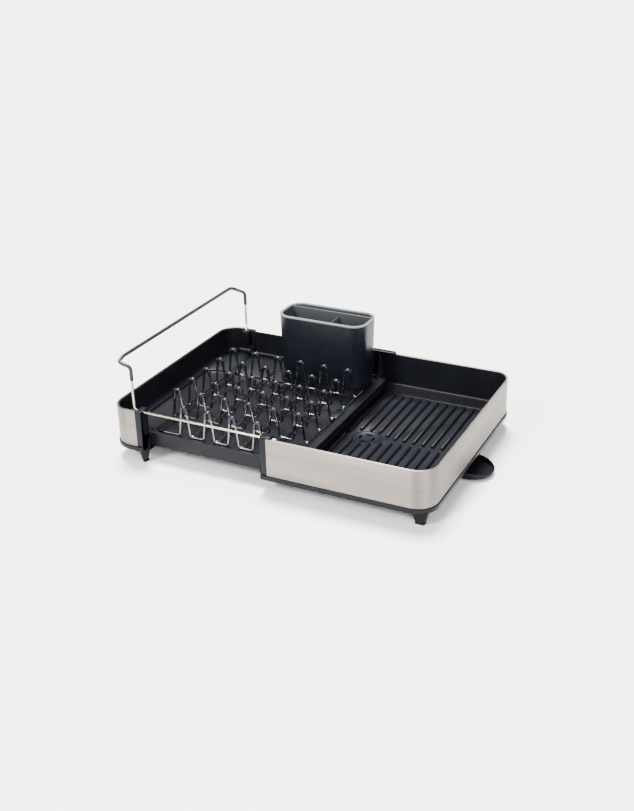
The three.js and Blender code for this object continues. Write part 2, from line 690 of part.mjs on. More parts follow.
function prongTip(x, y, footZ) {
  const [leftFoot, leftHead, rightHead, rightFoot] = prongCorners(x, y, footZ);
  const reach = TIP_LENGTH / leftHead.distanceTo(leftFoot);
  const corners = [
    leftHead.clone().lerp(leftFoot, reach),
    leftHead,
    rightHead,
    rightHead.clone().lerp(rightFoot, reach),
  ];
  return wire(bend(corners, PRONG_BEND_R, 2), TIP_R);
}

function rackRow(row) {
  const y = FIRST_ROW_Y + (row - 1) * PRONG_PITCH_Y;
  const corners = [];
  const tips = [];
  for (let column = PRONG_COLUMNS - 1; column >= 0; column -= 1) {
    corners.push(...prongCorners(columnX(column), y, ROW_WIRE_Z));
    tips.push(prongTip(columnX(column), y, ROW_WIRE_Z));
  }
  corners.unshift(corners[0].clone().add(new THREE.Vector3(-ROW_TAIL, 0, 0)));
  corners.push(corners[corners.length - 1].clone().add(new THREE.Vector3(ROW_TAIL, 0, 0)));
  return join(wire(bend(corners, PRONG_BEND_R, 2), WIRE_R), ...tips);
}

// Left edge wire, front row and right edge wire are one wire, bent round the rack.
function rackLoop() {
  const corners = [
    new THREE.Vector3(LOOP_WIRE_X, RACK_SIDE_Y, BASE_WIRE_Z),
    new THREE.Vector3(LOOP_WIRE_X, FRONT_ROW_Y, BASE_WIRE_Z),
  ];
  const tips = [];
  for (let column = PRONG_COLUMNS - 2; column >= 1; column -= 1) {
    corners.push(...prongCorners(columnX(column), FRONT_ROW_Y, BASE_WIRE_Z));
    tips.push(prongTip(columnX(column), FRONT_ROW_Y, BASE_WIRE_Z));
  }
  corners.push(
    new THREE.Vector3(EDGE_WIRE_X, FRONT_ROW_Y, BASE_WIRE_Z),
    new THREE.Vector3(EDGE_WIRE_X, FIRST_ROW_Y + 2 * PRONG_PITCH_Y + WIRE_R, BASE_WIRE_Z),
  );
  return join(wire(bend(corners, LOOP_BEND_R, 2), WIRE_R), ...tips);
}

function straightWire(x, frontY, backY) {
  const front = new THREE.Vector3(x, frontY, BASE_WIRE_Z);
  const back = new THREE.Vector3(x, backY, BASE_WIRE_Z);
  return wire([front, back], WIRE_R);
}

// ---------------------------------------------------------------- cutlery holder
const holderSides = {
  lowX: HOLDER_RIGHT_X - HOLDER_LENGTH,
  highX: HOLDER_RIGHT_X,
  lowY: HOLDER_FRONT_Y,
  highY: HOLDER_BACK_Y,
};

function holderPlan(inset) {
  return roundedRectangle(
    holderSides.lowX + inset, holderSides.highX - inset,
    holderSides.lowY + inset, holderSides.highY - inset, HOLDER_R - inset,
  );
}

function holderDrains(lowZ, highZ) {
  const middleX = (holderSides.lowX + holderSides.highX) / 2;
  const middleY = (holderSides.lowY + holderSides.highY) / 2;
  const halfWidth = HOLDER_SLOT_WIDTH / 2;
  const halfLength = HOLDER_SLOT_LENGTH / 2;
  const solids = [];
  for (let slot = 0; slot < HOLDER_SLOTS; slot += 1) {
    const x = middleX + (slot - (HOLDER_SLOTS - 1) / 2) * HOLDER_SLOT_PITCH;
    const outline = roundedRectangle(
      x - halfWidth, x + halfWidth, middleY - halfLength, middleY + halfLength, halfWidth, 3,
    );
    solids.push(prism(outline, lowZ, highZ));
  }
  return solids;
}

function holderShell() {
  const foot = FLOOR_Z + GAP;
  const top = HOLDER_TOP_Z - FLANGE_T - GAP;
  const floorZ = foot + HOLDER_STEP;
  const body = prism(holderPlan(0), floorZ, top);
  const step = prism(holderPlan(HOLDER_STEP), foot, floorZ + PAST);
  return cut(
    join(body, step),
    prism(holderPlan(HOLDER_WALL), floorZ + HOLDER_FLOOR, top + PAST),
    prism(holderPlan(HOLDER_RECESS), foot - PAST, floorZ),
    ...holderDrains(foot - PAST, floorZ + HOLDER_FLOOR + PAST),
  );
}

const linerInset = HOLDER_WALL + LINER_GAP;
const linerBackY = holderSides.highY - linerInset - LINER_WALL;
const knifeWallY = linerBackY - KNIFE_SLOT;

function holderLiner() {
  const flange = prism(holderPlan(0), HOLDER_TOP_Z - FLANGE_T, HOLDER_TOP_Z);
  const body = prism(holderPlan(linerInset), LINER_FLOOR_Z - LINER_WALL, HOLDER_TOP_Z);
  const cavity = prism(holderPlan(linerInset + LINER_WALL), LINER_FLOOR_Z, HOLDER_TOP_Z + PAST);
  const knifeWall = box(
    holderSides.lowX, holderSides.highX,
    knifeWallY - KNIFE_WALL, knifeWallY, LINER_FLOOR_Z - PAST, HOLDER_TOP_Z - PAST,
  ).intersect(body);
  const drains = holderDrains(LINER_FLOOR_Z - LINER_WALL - PAST, LINER_FLOOR_Z + 0.01);
  return cut(join(cut(join(flange, body), cavity), knifeWall), ...drains);
}

function holderDivider() {
  const x = (holderSides.lowX + holderSides.highX) / 2 + DIVIDER_SHIFT;
  const low = holderSides.lowY + linerInset + LINER_WALL + GAP;
  const high = knifeWallY - KNIFE_WALL - GAP;
  const topZ = HOLDER_TOP_Z - DIVIDER_DROP;
  const outline = roundedRectangle(low, high, LINER_FLOOR_Z + GAP, topZ, 5, 3);
  const shape = new THREE.Shape(outline);
  const geometry = new THREE.ExtrudeGeometry(shape, { depth: DIVIDER_T, bevelEnabled: false });
  geometry.rotateX(Math.PI / 2);
  geometry.rotateZ(Math.PI / 2);
  geometry.translate(x, 0, 0);
  return toSolid(geometry);
}

// ---------------------------------------------------------------- spout
function spoutPlan(inset) {
  const lip = DRAIN_X + SPOUT_REACH - inset;
  const half = SPOUT_HALF - inset;
  const lipLength = SPOUT_LIP_LENGTH - inset;
  const end = [];
  for (let i = 0; i <= 2 * ARC_STEPS; i += 1) {
    const angle = Math.PI * (i / (2 * ARC_STEPS) - 0.5);
    const along = Math.sign(Math.cos(angle)) * Math.abs(Math.cos(angle)) ** SPOUT_BLUNT;
    const across = Math.sign(Math.sin(angle)) * Math.abs(Math.sin(angle)) ** SPOUT_BLUNT;
    end.push(new THREE.Vector2(lip - lipLength + lipLength * along, half * across));
  }
  return [...end, ...arc(DRAIN_X, 0, SPOUT_HUB_R - inset, 100, 260, 12)];
}

function spoutArm() {
  const lipX = DRAIN_X + SPOUT_REACH;
  const trough = cut(
    prism(spoutPlan(0), SPOUT_FOOT_Z, SPOUT_TOP_Z),
    prism(spoutPlan(SPOUT_WALL), SPOUT_FOOT_Z + SPOUT_WALL, SPOUT_TOP_Z + PAST),
  );
  const slope = new THREE.BoxGeometry(2 * SPOUT_LIP_LENGTH, 3 * SPOUT_HALF, SPOUT_TOP_Z);
  const angle = Math.atan2(SPOUT_TOP_Z - SPOUT_LIP_Z, SPOUT_LIP_LENGTH);
  slope.translate(0, 0, SPOUT_TOP_Z / 2);
  slope.rotateY(angle);
  slope.translate(lipX, 0, SPOUT_LIP_Z);
  const cover = cut(
    disc(DRAIN_X, 0, SPOUT_HUB_R, SPOUT_TOP_Z - SPOUT_WALL, SPOUT_TOP_Z),
    disc(DRAIN_X, 0, NECK_R + SPOUT_BORE, 0, RIM_Z),
  );
  return join(cut(trough, toSolid(slope)), cover);
}

// Retaining ring between the drain's neck and the spout's cover.
function spoutCollar() {
  const outer = NECK_R + SPOUT_BORE - GAP;
  return ring(DRAIN_X, 0, NECK_R + SEAL_T, outer, SPOUT_TOP_Z - COLLAR_HEIGHT, SPOUT_TOP_Z);
}

function drainSeal() {
  const top = SPOUT_TOP_Z - SEAL_DROP;
  return ring(DRAIN_X, 0, NECK_R + GAP, NECK_R + SEAL_T - GAP, top - SEAL_HEIGHT, top);
}

// ---------------------------------------------------------------- the assembly
const finish = {
  charcoal: new THREE.MeshStandardMaterial({ color: 0x2a2d38, roughness: 0.42, metalness: 0 }),
  steel: new THREE.MeshStandardMaterial({ color: 0xb9b6b1, roughness: 0.34, metalness: 1 }),
  wire: new THREE.MeshStandardMaterial({ color: 0xc9c7c3, roughness: 0.2, metalness: 1 }),
  sleeve: new THREE.MeshStandardMaterial({ color: 0x4a4b4f, roughness: 0.7, metalness: 0 }),
  liner: new THREE.MeshStandardMaterial({ color: 0x77797c, roughness: 0.6, metalness: 0 }),
  rubber: new THREE.MeshStandardMaterial({ color: 0x161719, roughness: 0.85, metalness: 0 }),
};

const model = new THREE.Group();

function add(name, solid, material) {
  const mesh = new THREE.Mesh(toGeometry(solid), material);
  mesh.name = name;
  model.add(mesh);
}

function footPad(outline) {
  const [low, , high] = outline;
  return prism(roundedRectangle(low.x, high.x, low.y, high.y, PAD_R, 3), 0, PAD_T);
}

function outerPad(place) {
  return footPad(rectangle(place.x, place.y, FOOT_BOTTOM, FOOT_BOTTOM * FOOT_SQUASH));
}

add('outer_tray', outerTray(), finish.charcoal);
add('outer_steel_band', steelBand(outerPlan, OPEN_X + POST_WIDTH + GAP), finish.steel);
add('drain_strainer', strainer(), finish.charcoal);
add('drain_seal', drainSeal(), finish.rubber);
add('front_rail_guide', railGuide(), finish.charcoal);
add('rear_wall_guide', wallGuide(), finish.charcoal);

add('inner_tray', innerTray(), finish.charcoal);
add('inner_steel_band', steelBand(innerEndPlan, POST_X - POST_WIDTH - GAP), finish.steel);
add('support_wire', wire(supportStations(), RAIL_R), finish.wire);
add('handle_sleeve', wire(sleeveStations(), SLEEVE_R, RAIL_R + GAP), finish.sleeve);

for (const [side, place] of [[-1, 'front'], [1, 'rear']]) {
  const [corner, inboard] = outerFeet(side);
  add(`outer_${place}_pad`, outerPad(corner), finish.rubber);
  add(`outer_${place}_inboard_pad`, outerPad(inboard), finish.rubber);
  add(`inner_${place}_pad`, footPad(bladePlan(side)), finish.rubber);
}

add('rack_loop_wire', rackLoop(), finish.wire);
add('rack_edge_wire', straightWire(
  EDGE_WIRE_X, FIRST_ROW_Y + 3 * PRONG_PITCH_Y - WIRE_R, RACK_BACK_Y + EDGE_REACH,
), finish.wire);
for (let column = 1; column < PRONG_COLUMNS - 1; column += 1) {
  const x = columnX(column) + PRONG_FOOT + WIRE_R;
  const backY = x + WIRE_R < HOLDER_RIGHT_X - HOLDER_LENGTH ? RACK_SIDE_Y : RACK_BACK_Y;
  add(`rack_base_wire_${column}`, straightWire(x, FRONT_ROW_Y + WIRE_R + GAP, backY), finish.wire);
}
for (let row = 1; row <= PRONG_ROWS; row += 1) {
  add(`rack_row_${row}`, rackRow(row), finish.wire);
}

add('holder_shell', holderShell(), finish.charcoal);
add('holder_liner', holderLiner(), finish.liner);
add('holder_divider', holderDivider(), finish.liner);

add('spout_arm', spoutArm(), finish.charcoal);
add('spout_collar', spoutCollar(), finish.charcoal);

// The origin is under the middle of the whole object, on the surface it stands on.
const leftmost = END_X - TRIM_PROUD;
const rightmost = DRAIN_X + SPOUT_REACH;
model.position.x = -(leftmost + rightmost) / 2;

export default model;
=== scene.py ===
"""Expandable dish drying rack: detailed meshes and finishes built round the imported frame."""
import math

import bmesh
import bpy
import numpy as np
from mathutils import Matrix, Vector


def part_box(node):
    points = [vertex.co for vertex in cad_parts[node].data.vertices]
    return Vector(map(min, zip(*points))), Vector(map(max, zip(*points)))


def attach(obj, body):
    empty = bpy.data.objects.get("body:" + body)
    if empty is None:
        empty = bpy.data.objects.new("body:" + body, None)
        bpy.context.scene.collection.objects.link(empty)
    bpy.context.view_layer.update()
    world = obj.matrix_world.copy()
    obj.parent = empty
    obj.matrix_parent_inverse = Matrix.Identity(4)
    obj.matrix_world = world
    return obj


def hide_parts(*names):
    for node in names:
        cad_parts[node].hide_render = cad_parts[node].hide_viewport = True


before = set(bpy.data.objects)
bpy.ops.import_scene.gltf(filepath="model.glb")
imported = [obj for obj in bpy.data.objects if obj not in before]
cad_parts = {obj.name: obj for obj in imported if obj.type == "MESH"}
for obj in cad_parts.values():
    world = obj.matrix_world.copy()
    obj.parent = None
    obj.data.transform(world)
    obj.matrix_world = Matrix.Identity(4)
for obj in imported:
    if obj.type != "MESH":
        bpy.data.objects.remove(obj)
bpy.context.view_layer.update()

# ---------------------------------------------------------------- sizes, in millimetres
MM = 0.001


def box_mm(node):
    low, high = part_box(node)
    return np.array(low) / MM, np.array(high) / MM


band_low, band_high = box_mm("outer_steel_band")
tray_low, tray_high = box_mm("outer_tray")
inner_high = box_mm("inner_tray")[1]
end_band_low, end_band_high = box_mm("inner_steel_band")
strainer_low, strainer_high = box_mm("drain_strainer")
spout_low, spout_high = box_mm("spout_arm")
holder_low, holder_high = box_mm("holder_shell")
liner_high = box_mm("holder_liner")[1]
divider_low, divider_high = box_mm("holder_divider")

END_FACE = band_high[0]                       # every length below is measured from this face
HALF = band_high[1]                           # half the depth
RIM_Z = band_high[2]
BAND_FOOT_Z = band_low[2]
TRIM = tray_high[0] - END_FACE                # skirting proud of the steel
OPEN_X = tray_low[0] - END_FACE               # open side of the outer tray
END_X = end_band_low[0] - END_FACE            # closed end of the inner tray
INNER_EDGE_X = inner_high[0] - END_FACE
GAP = 0.3                                     # between pieces that touch
POST_W = 10.0
POST_X = end_band_high[0] - END_FACE + POST_W + GAP

# Both trays
PAN_Z = 16.0
TRIM_Z = 21.5
CORNER_R = 32.0
WALL_OUT = 1.3                                # the moulded wall's two faces, inward from the steel's
WALL_IN = 4.3
WALL_TOP_Z = RIM_Z - WALL_OUT
UNDERSIDE_IN = 29.5                           # where the moulded wall's section ends and its cap begins
PAD_TOP_Z = 2.3

# Outer tray
FLOOR_Z = 21.0
DRAIN_X = (strainer_low[0] + strainer_high[0]) / 2 - END_FACE
DRAIN_R = (strainer_high[0] - strainer_low[0]) / 2
DRAIN_HOLE_R = 14.0
SLOT_R = 11.1                                 # middle line of the strainer's slots
SLOT_HALF = 1.7
SLOT_HALF_ANGLE = 29
STRAINER_SLOTS = 4
RIB_PITCH = 15.5
FIRST_RIB_X = -24.0
RIB_CLEAR_R = 34.0                            # ribs stop short of the strainer inside this radius
RIB_END_IN = 25.8
INBOARD_FOOT_Y = 122

# Inner tray
DECK_Z = 45.0
BASIN_Z = 41.0
SKIRT_Z = 35.8
FRONT_SKIRT_Z = 22.5
LEDGE_Y = -160.0
SLIDE_CLEAR = 0.5
BACK_WALL_Y = HALF - WALL_IN - SLIDE_CLEAR
SLIDE_WALL = 2.8
SLIDE_OPEN_X = POST_X - SLIDE_WALL
STRIP_X = INNER_EDGE_X - 15.5                 # where the raised right edge begins
FRONT_R, BACK_R = 10.0, CORNER_R - WALL_IN - SLIDE_CLEAR

# Support wire and handle
RAIL_R = 2.0
RAIL_Y = HALF - 8.0
RAIL_Z = 86.0
RAIL_END_X = OPEN_X + 28
RAIL_FOOT_Z = 50
LEG_X = END_X + 43
LEG_FOOT_Z = 70
BAR_X = END_X + 21
BAR_Z = 167
BAR_CORNER = 14
KNEE_Z = 158.0
KNEE_RISE = 4.5
SLEEVE_R = 2.9
SLEEVE_FOOT_Z = 135

# Plate rack
WIRE_R = 1.8
PITCH_X, PITCH_Y = 42.5, 43.5
COLUMNS, ROWS = 6, 5
FIRST_ROW_Y = -102.0
FRONT_ROW_Y = -152.0
PRONG_FOOT, PRONG_HEAD = 9.6, 3.9             # half widths of a prong at its foot and head
PRONG_TOP_Z, TIP_R = 98.0, 2.7
HEAD_Z = PRONG_TOP_Z - TIP_R
DIP_LENGTH = 12.5
ROW_TAIL = 5
BASE_Z = DECK_Z + GAP + WIRE_R
ROW_Z = BASE_Z + 2 * WIRE_R + 0.1
LAST_X = INNER_EDGE_X - 31                    # right column of prongs
LOOP_X = LAST_X - 5 * PITCH_X - PRONG_FOOT + WIRE_R
EDGE_X = LAST_X + PRONG_FOOT + WIRE_R
TONGUE_CLEAR = 4.5                            # between the tongue and the rows beside it
WIRE_END_CLEAR = 2.7                          # between the tongue and the wires that stop at it
TONGUE_LOW = FIRST_ROW_Y + 2 * PITCH_Y + TONGUE_CLEAR
TONGUE_HIGH = FIRST_ROW_Y + 3 * PITCH_Y - TONGUE_CLEAR

# Cutlery holder
HOLDER_LEFT, HOLDER_RIGHT = holder_low[0] - END_FACE, holder_high[0] - END_FACE
HOLDER_FRONT, HOLDER_BACK = holder_low[1], holder_high[1]
HOLDER_TOP = liner_high[2]
HOLDER_CORNER_R = 24
HOLDER_FOOT_Z = 45.3
RIM_FOOT_Z = HOLDER_TOP - 2.7
RIM_W = 4.9
LINER_FLOOR = 70.0
LINER_WALL = 1.8
HOLDER_SLOT_PITCH = 24
HOLDER_SLOT_HALF = (3, 18)

# Spout
LIP_X = spout_high[0] - END_FACE
SPOUT_HALF = (spout_high[1] - spout_low[1]) / 2
LIP_LENGTH = 42.0
SPOUT_SIDE_Z = 14.2
SPOUT_FALL = 6.4                              # how far the side walls drop towards the lip
SPOUT_FALL_LENGTH = 46


# ---------------------------------------------------------------- outlines
def rounded(points, steps=5, closed=False):
    """Corners (a, b, radius) joined by straight lines and true arcs."""
    out = []
    count = len(points)
    for i, (a, b, radius) in enumerate(points):
        here = np.array([a, b], float)
        if radius <= 0 or (not closed and i in (0, count - 1)):
            out.append(here)
            continue
        back = np.array(points[i - 1][:2], float) - here
        on = np.array(points[(i + 1) % count][:2], float) - here
        back_length, on_length = np.linalg.norm(back), np.linalg.norm(on)
        back, on = back / back_length, on / on_length
        half = math.acos(max(-1.0, min(1.0, float(back @ on)))) / 2
        if half > 1.53:                       # almost straight: spread the points along it
            reach = min(back_length, on_length, 1.0) * 0.3
            for k in range(steps + 1):
                t = 2 * k / steps - 1
                out.append(here + (on * t if t > 0 else back * -t) * reach)
            continue
        reach = min(radius / math.tan(half), 0.49 * back_length, 0.49 * on_length)
        size = reach * math.tan(half)
        middle = back + on
        centre = here + middle / np.linalg.norm(middle) * size / math.sin(half)
        start = here + back * reach - centre
        end = here + on * reach - centre
        angle = math.atan2(start[1], start[0])
        turn = math.atan2(end[1], end[0]) - angle
        turn = (turn + math.pi) % (2 * math.pi) - math.pi
        for k in range(steps + 1):
            at = angle + turn * k / steps
            out.append(centre + size * np.array([math.cos(at), math.sin(at)]))
    return out


def arc(cx, cy, radius, first, last, steps):
    angles = np.radians(np.linspace(first, last, steps + 1))
    return [np.array([cx + radius * math.cos(a), cy + radius * math.sin(a)]) for a in angles]


def spaced(start, end, pieces):
    """Points from start up to, and without, end."""
    start, end = np.array(start, float), np.array(end, float)
    return [start + (end - start) * k / pieces for k in range(pieces)]


def end_plan(inset, open_x, end_x):
    """Round a tray's closed end, from the front of its open side to the back."""
    side = 1 if end_x > open_x else -1
    reach = abs(end_x - open_x) - inset
    high = HALF - inset
    radius = max(CORNER_R - inset, 3.0)
    points = spaced((0, -high), (reach - radius, -high), 8)
    points += arc(reach - radius, -high + radius, radius, -90, 0, 14)[:-1]
    points += spaced((reach, -high + radius), (reach, high - radius), 8)
    points += arc(reach - radius, high - radius, radius, 0, 90, 14)
    points += spaced((0, high), (reach - radius, high), 8)[::-1]
    return [np.array([open_x + side * x, y]) for x, y in points]


def rectangle(low_x, high_x, low_y, high_y, radius, steps=6):
    radius = max(radius, 0.05)
    return (arc(high_x - radius, low_y + radius, radius, -90, 0, steps)
            + arc(high_x - radius, high_y - radius, radius, 0, 90, steps)
            + arc(low_x + radius, high_y - radius, radius, 90, 180, steps)
            + arc(low_x + radius, low_y + radius, radius, 180, 270, steps))


# ---------------------------------------------------------------- meshes
def place(points):
    """Millimetres from the end face become metres in the row frame."""
    moved = np.array(points, float)
    moved[:, 0] += END_FACE
    return moved * MM


def linked(name, bm):
    """The finished mesh as an object in the scene."""
    mesh = bpy.data.meshes.new(name)
    bm.to_mesh(mesh)
    bm.free()
    made = bpy.data.objects.new(name, mesh)
    bpy.context.scene.collection.objects.link(made)
    return made


def new_object(name, bm):
    """The finished mesh as an object, with its faces turned outwards."""
    bmesh.ops.recalc_face_normals(bm, faces=bm.faces)
    return linked(name, bm)


def grid(name, rings, around=False, closed_section=False):
    """A closed solid through rings of points: around joins each ring's ends, closed_section its rings."""
    count, width = len(rings), len(rings[0])
    flat = place([p for ring in rings for p in ring])
    bm = bmesh.new()
    run_layer = bm.loops.layers.uv.new("run")
    verts = [bm.verts.new(p) for p in flat]
    for k in range(count if closed_section else count - 1):
        low, high = k * width, ((k + 1) % count) * width
        for c in range(width if around else width - 1):
            d = (c + 1) % width
            bm.faces.new((verts[low + c], verts[low + d], verts[high + d], verts[high + c]))
    caps = []
    if closed_section:
        caps += [[k * width for k in range(count)], [k * width + width - 1 for k in range(count)]]
    else:
        caps += [list(range(width)), list(range((count - 1) * width, count * width))]
        if not around:
            front = [k * width for k in range(count)]
            caps.append(front + [k * width + width - 1 for k in reversed(range(count))])
    made = [bm.faces.new([verts[i] for i in cap]) for cap in caps]
    bm.verts.index_update()
    steps = np.linalg.norm(np.diff(flat.reshape(count, width, 3), axis=1), axis=2)
    run = np.concatenate([np.zeros((count, 1)), np.cumsum(steps, axis=1)], axis=1).ravel()
    for face in bm.faces:
        for loop in face.loops:
            i = loop.vert.index
            loop[run_layer].uv = (run[i], flat[i][2] + flat[i][1] * 0.001)
    bmesh.ops.triangulate(bm, faces=made, ngon_method="EAR_CLIP")
    return new_object(name, bm)


def shell(name, profile, plan, **kind):
    """A section of (inset, height) points carried round a plan."""
    return grid(name, [[(x, y, z) for x, y in plan(inset)] for inset, z in profile], **kind)


def stack(name, levels):
    """Outlines of the same point count, one above the other: (outline, height)."""
    return grid(name, [[(x, y, z) for x, y in outline] for outline, z in levels], around=True)


def block(name, low, high, radius=0.8, edge=0.6):
    """A box with rounded corners and softened top and bottom edges."""
    levels = []
    for z, inset in ((low[2], edge), (low[2] + edge * 0.3, edge * 0.3), (low[2] + edge, 0),
                     (high[2] - edge, 0), (high[2] - edge * 0.3, edge * 0.3), (high[2], edge)):
        outline = rectangle(low[0] + inset, high[0] - inset, low[1] + inset, high[1] - inset,
                            radius - inset, 4)
        levels.append((outline, z))
    return stack(name, levels)


def closed_loop(name, rings):
    """A closed section carried round a closed plan."""
    bm = bmesh.new()
    verts = [[bm.verts.new(p) for p in place(ring)] for ring in rings]
    for k, ring in enumerate(verts):
        other = verts[(k + 1) % len(verts)]
        for c in range(len(ring)):
            d = (c + 1) % len(ring)
            bm.faces.new((ring[c], ring[d], other[d], other[c]))
    return new_object(name, bm)


def turned(name, profile, cx, cy, sides=64):
    """A section of (radius, height) points turned about an upright axis."""
    angles = np.linspace(0, 2 * math.pi, sides, endpoint=False)
    closed = profile[0][0] > 0 and profile[-1][0] > 0
    rings = [[(cx + r * math.cos(a), cy + r * math.sin(a), z) for a in angles]
             for r, z in ((max(r, 0.01), z) for r, z in profile)]
    return closed_loop(name, rings) if closed else grid(name, rings, around=True)


def joined(name, parts):
    """Several closed solids as one piece."""
    bm = bmesh.new()
    for part in parts:
        bm.from_mesh(part.data)
        bpy.data.objects.remove(part)
    return linked(name, bm)


def baked(made):
    """The object with its modifiers applied."""
    bpy.context.view_layer.update()
    graph = bpy.context.evaluated_depsgraph_get()
    mesh = bpy.data.meshes.new_from_object(made.evaluated_get(graph))
    mesh.name = made.name
    made.modifiers.clear()
    made.data = mesh
    return made


def cut(body, *tools):
    for tool in tools:
        change = body.modifiers.new("cut", "BOOLEAN")
        change.object = tool
        change.operation = "DIFFERENCE"
        change.solver = "MANIFOLD"
        baked(body)
        bpy.data.objects.remove(tool)
    return body


def smooth(made, angle=38):
    """Smooth shading, kept crisp over sharp edges."""
    bm = bmesh.new()
    bm.from_mesh(made.data)
    for face in bm.faces:
        face.smooth = True
    limit = math.radians(angle)
    for edge in bm.edges:
        edge.smooth = len(edge.link_faces) == 2 and edge.calc_face_angle(0) < limit
    bm.to_mesh(made.data)
    bm.free()
    return made


# ---------------------------------------------------------------- node helpers
def add(tree, kind, inputs=None, **settings):
    node = tree.nodes.new(kind)
    for key, value in settings.items():
        setattr(node, key, value)
    for key, value in (inputs or {}).items():
        if isinstance(value, bpy.types.NodeSocket):
            tree.links.new(value, node.inputs[key])
        else:
            node.inputs[key].default_value = value
    return node


def colour(code):
    """A hex sRGB colour as linear RGBA."""
    parts = [int(code[i:i + 2], 16) / 255 for i in (1, 3, 5)]
    return (*[c / 12.92 if c <= 0.04045 else ((c + 0.055) / 1.055) ** 2.4 for c in parts], 1.0)


def per_mm(size):
    """Texture scale, in features per metre, for a feature this many millimetres wide."""
    return 1.0 / (size * MM)


# ---------------------------------------------------------------- finishes
def new_material(name):
    material = bpy.data.materials.new(name)
    material.use_nodes = True
    tree = material.node_tree
    tree.nodes.clear()
    return material, tree


def finish_with(tree, inputs, height=None, depth=0.0, edge=0.4):
    """Ends a material: a softened edge normal, a fine relief and the surface itself."""
    soft = add(tree, "ShaderNodeBevel", {"Radius": edge * MM}, samples=4)
    normal = soft.outputs[0]
    if height is not None:
        relief = add(tree, "ShaderNodeBump", {"Strength": 1.0, "Distance": depth * MM, "Height": height,
                                              "Normal": normal})
        normal = relief.outputs[0]
    surface = add(tree, "ShaderNodeBsdfPrincipled", {**inputs, "Normal": normal})
    output = add(tree, "ShaderNodeOutputMaterial")
    tree.links.new(surface.outputs[0], output.inputs["Surface"])
    return surface


def ranged(tree, value, low, high, from_low=0.3, from_high=0.7):
    return add(tree, "ShaderNodeMapRange", {"Value": value, "From Min": from_low, "From Max": from_high,
                                            "To Min": low, "To Max": high}).outputs[0]


def blended(tree, factor, first, second):
    mix = add(tree, "ShaderNodeMix", {"Factor": factor}, data_type="RGBA")
    mix.inputs[6].default_value = colour(first)
    mix.inputs[7].default_value = colour(second)
    return mix.outputs[2]


def moulded(name, dark, light, rough, grain, cloud_mm=60, sheen=0.5, edge=0.4):
    """Injection-moulded plastic: a fine spark-eroded grain, and slow flow marks in tone and gloss."""
    material, tree = new_material(name)
    where = add(tree, "ShaderNodeTexCoord").outputs["Object"]
    cloud = add(tree, "ShaderNodeTexNoise", {"Vector": where, "Scale": per_mm(cloud_mm), "Detail": 3.0})
    # The real grain is about a tenth of a millimetre, too fine to show, so it is drawn coarser.
    fine = add(tree, "ShaderNodeTexNoise", {"Vector": where, "Scale": per_mm(0.7), "Detail": 4.0})
    tone = blended(tree, ranged(tree, cloud.outputs["Fac"], 0, 1), dark, light)
    gloss = ranged(tree, cloud.outputs["Fac"], rough - 0.03, rough + 0.04)
    rough_grain = add(tree, "ShaderNodeMath", {0: gloss, 1: ranged(tree, fine.outputs["Fac"], -0.02, 0.03)},
                      operation="ADD").outputs[0]
    finish_with(tree, {"Base Color": tone, "Roughness": rough_grain, "Specular IOR Level": sheen},
                fine.outputs["Fac"], grain, edge)
    return material


def brushed_steel(name):
    """Ferritic stainless sheet, belt-brushed along its run: long hairlines stretch every highlight."""
    material, tree = new_material(name)
    run = add(tree, "ShaderNodeUVMap", uv_map="run").outputs[0]
    # Real brushing lines are finer than this; they are widened so that they show.
    long = add(tree, "ShaderNodeMapping", {"Vector": run, "Scale": (per_mm(90), per_mm(0.22), 1)})
    broad = add(tree, "ShaderNodeMapping", {"Vector": run, "Scale": (per_mm(400), per_mm(30), 1)})
    hair = add(tree, "ShaderNodeTexNoise", {"Vector": long.outputs[0], "Scale": 1.0, "Detail": 5.0,
                                            "Roughness": 0.7})
    band = add(tree, "ShaderNodeTexNoise", {"Vector": broad.outputs[0], "Scale": 1.0, "Detail": 2.0})
    both = add(tree, "ShaderNodeMath", {0: hair.outputs["Fac"], 1: 0.6, 2: 0.0}, operation="MULTIPLY_ADD")
    tree.links.new(band.outputs["Fac"], both.inputs[2])
    tone = blended(tree, ranged(tree, both.outputs[0], 0, 1, 0.6, 1.0), "#726b64", "#8c857d")
    gloss = ranged(tree, hair.outputs["Fac"], 0.42, 0.52)
    tangent = add(tree, "ShaderNodeTangent", direction_type="UV_MAP", uv_map="run").outputs[0]
    finish_with(tree, {"Base Color": tone, "Metallic": 1.0, "Roughness": gloss, "Anisotropic": 0.85,
                       "Anisotropic Rotation": 0.25, "Tangent": tangent}, hair.outputs["Fac"], 0.0012, 0.25)
    return material


def bright_wire(name, dark, light, rough):
    """Drawn steel wire with a bright plated skin: faint drawing lines and slow changes of gloss."""
    material, tree = new_material(name)
    where = add(tree, "ShaderNodeTexCoord").outputs["Object"]
    slow = add(tree, "ShaderNodeTexNoise", {"Vector": where, "Scale": per_mm(9), "Detail": 3.0})
    fine = add(tree, "ShaderNodeTexNoise", {"Vector": where, "Scale": per_mm(0.5), "Detail": 2.0})
    tone = blended(tree, ranged(tree, slow.outputs["Fac"], 0, 1), dark, light)
    finish_with(tree, {"Base Color": tone, "Metallic": 1.0,
                       "Roughness": ranged(tree, slow.outputs["Fac"], rough, rough + 0.07)},
                fine.outputs["Fac"], 0.003, 0.2)
    return material


# Trays: polypropylene with a fine matt grain, so highlights spread into soft, broad patches.
charcoal = moulded("Polypropylene, moulded, charcoal", "#0d0e12", "#111217", 0.32, 0.012, 60, 0.12)
# Holder: harder ABS with a shallower grain, so it looks smoother and a little bluer than the trays.
holder_navy = moulded("ABS, moulded, dark navy", "#0c0e14", "#101219", 0.27, 0.010, 80, 0.16)
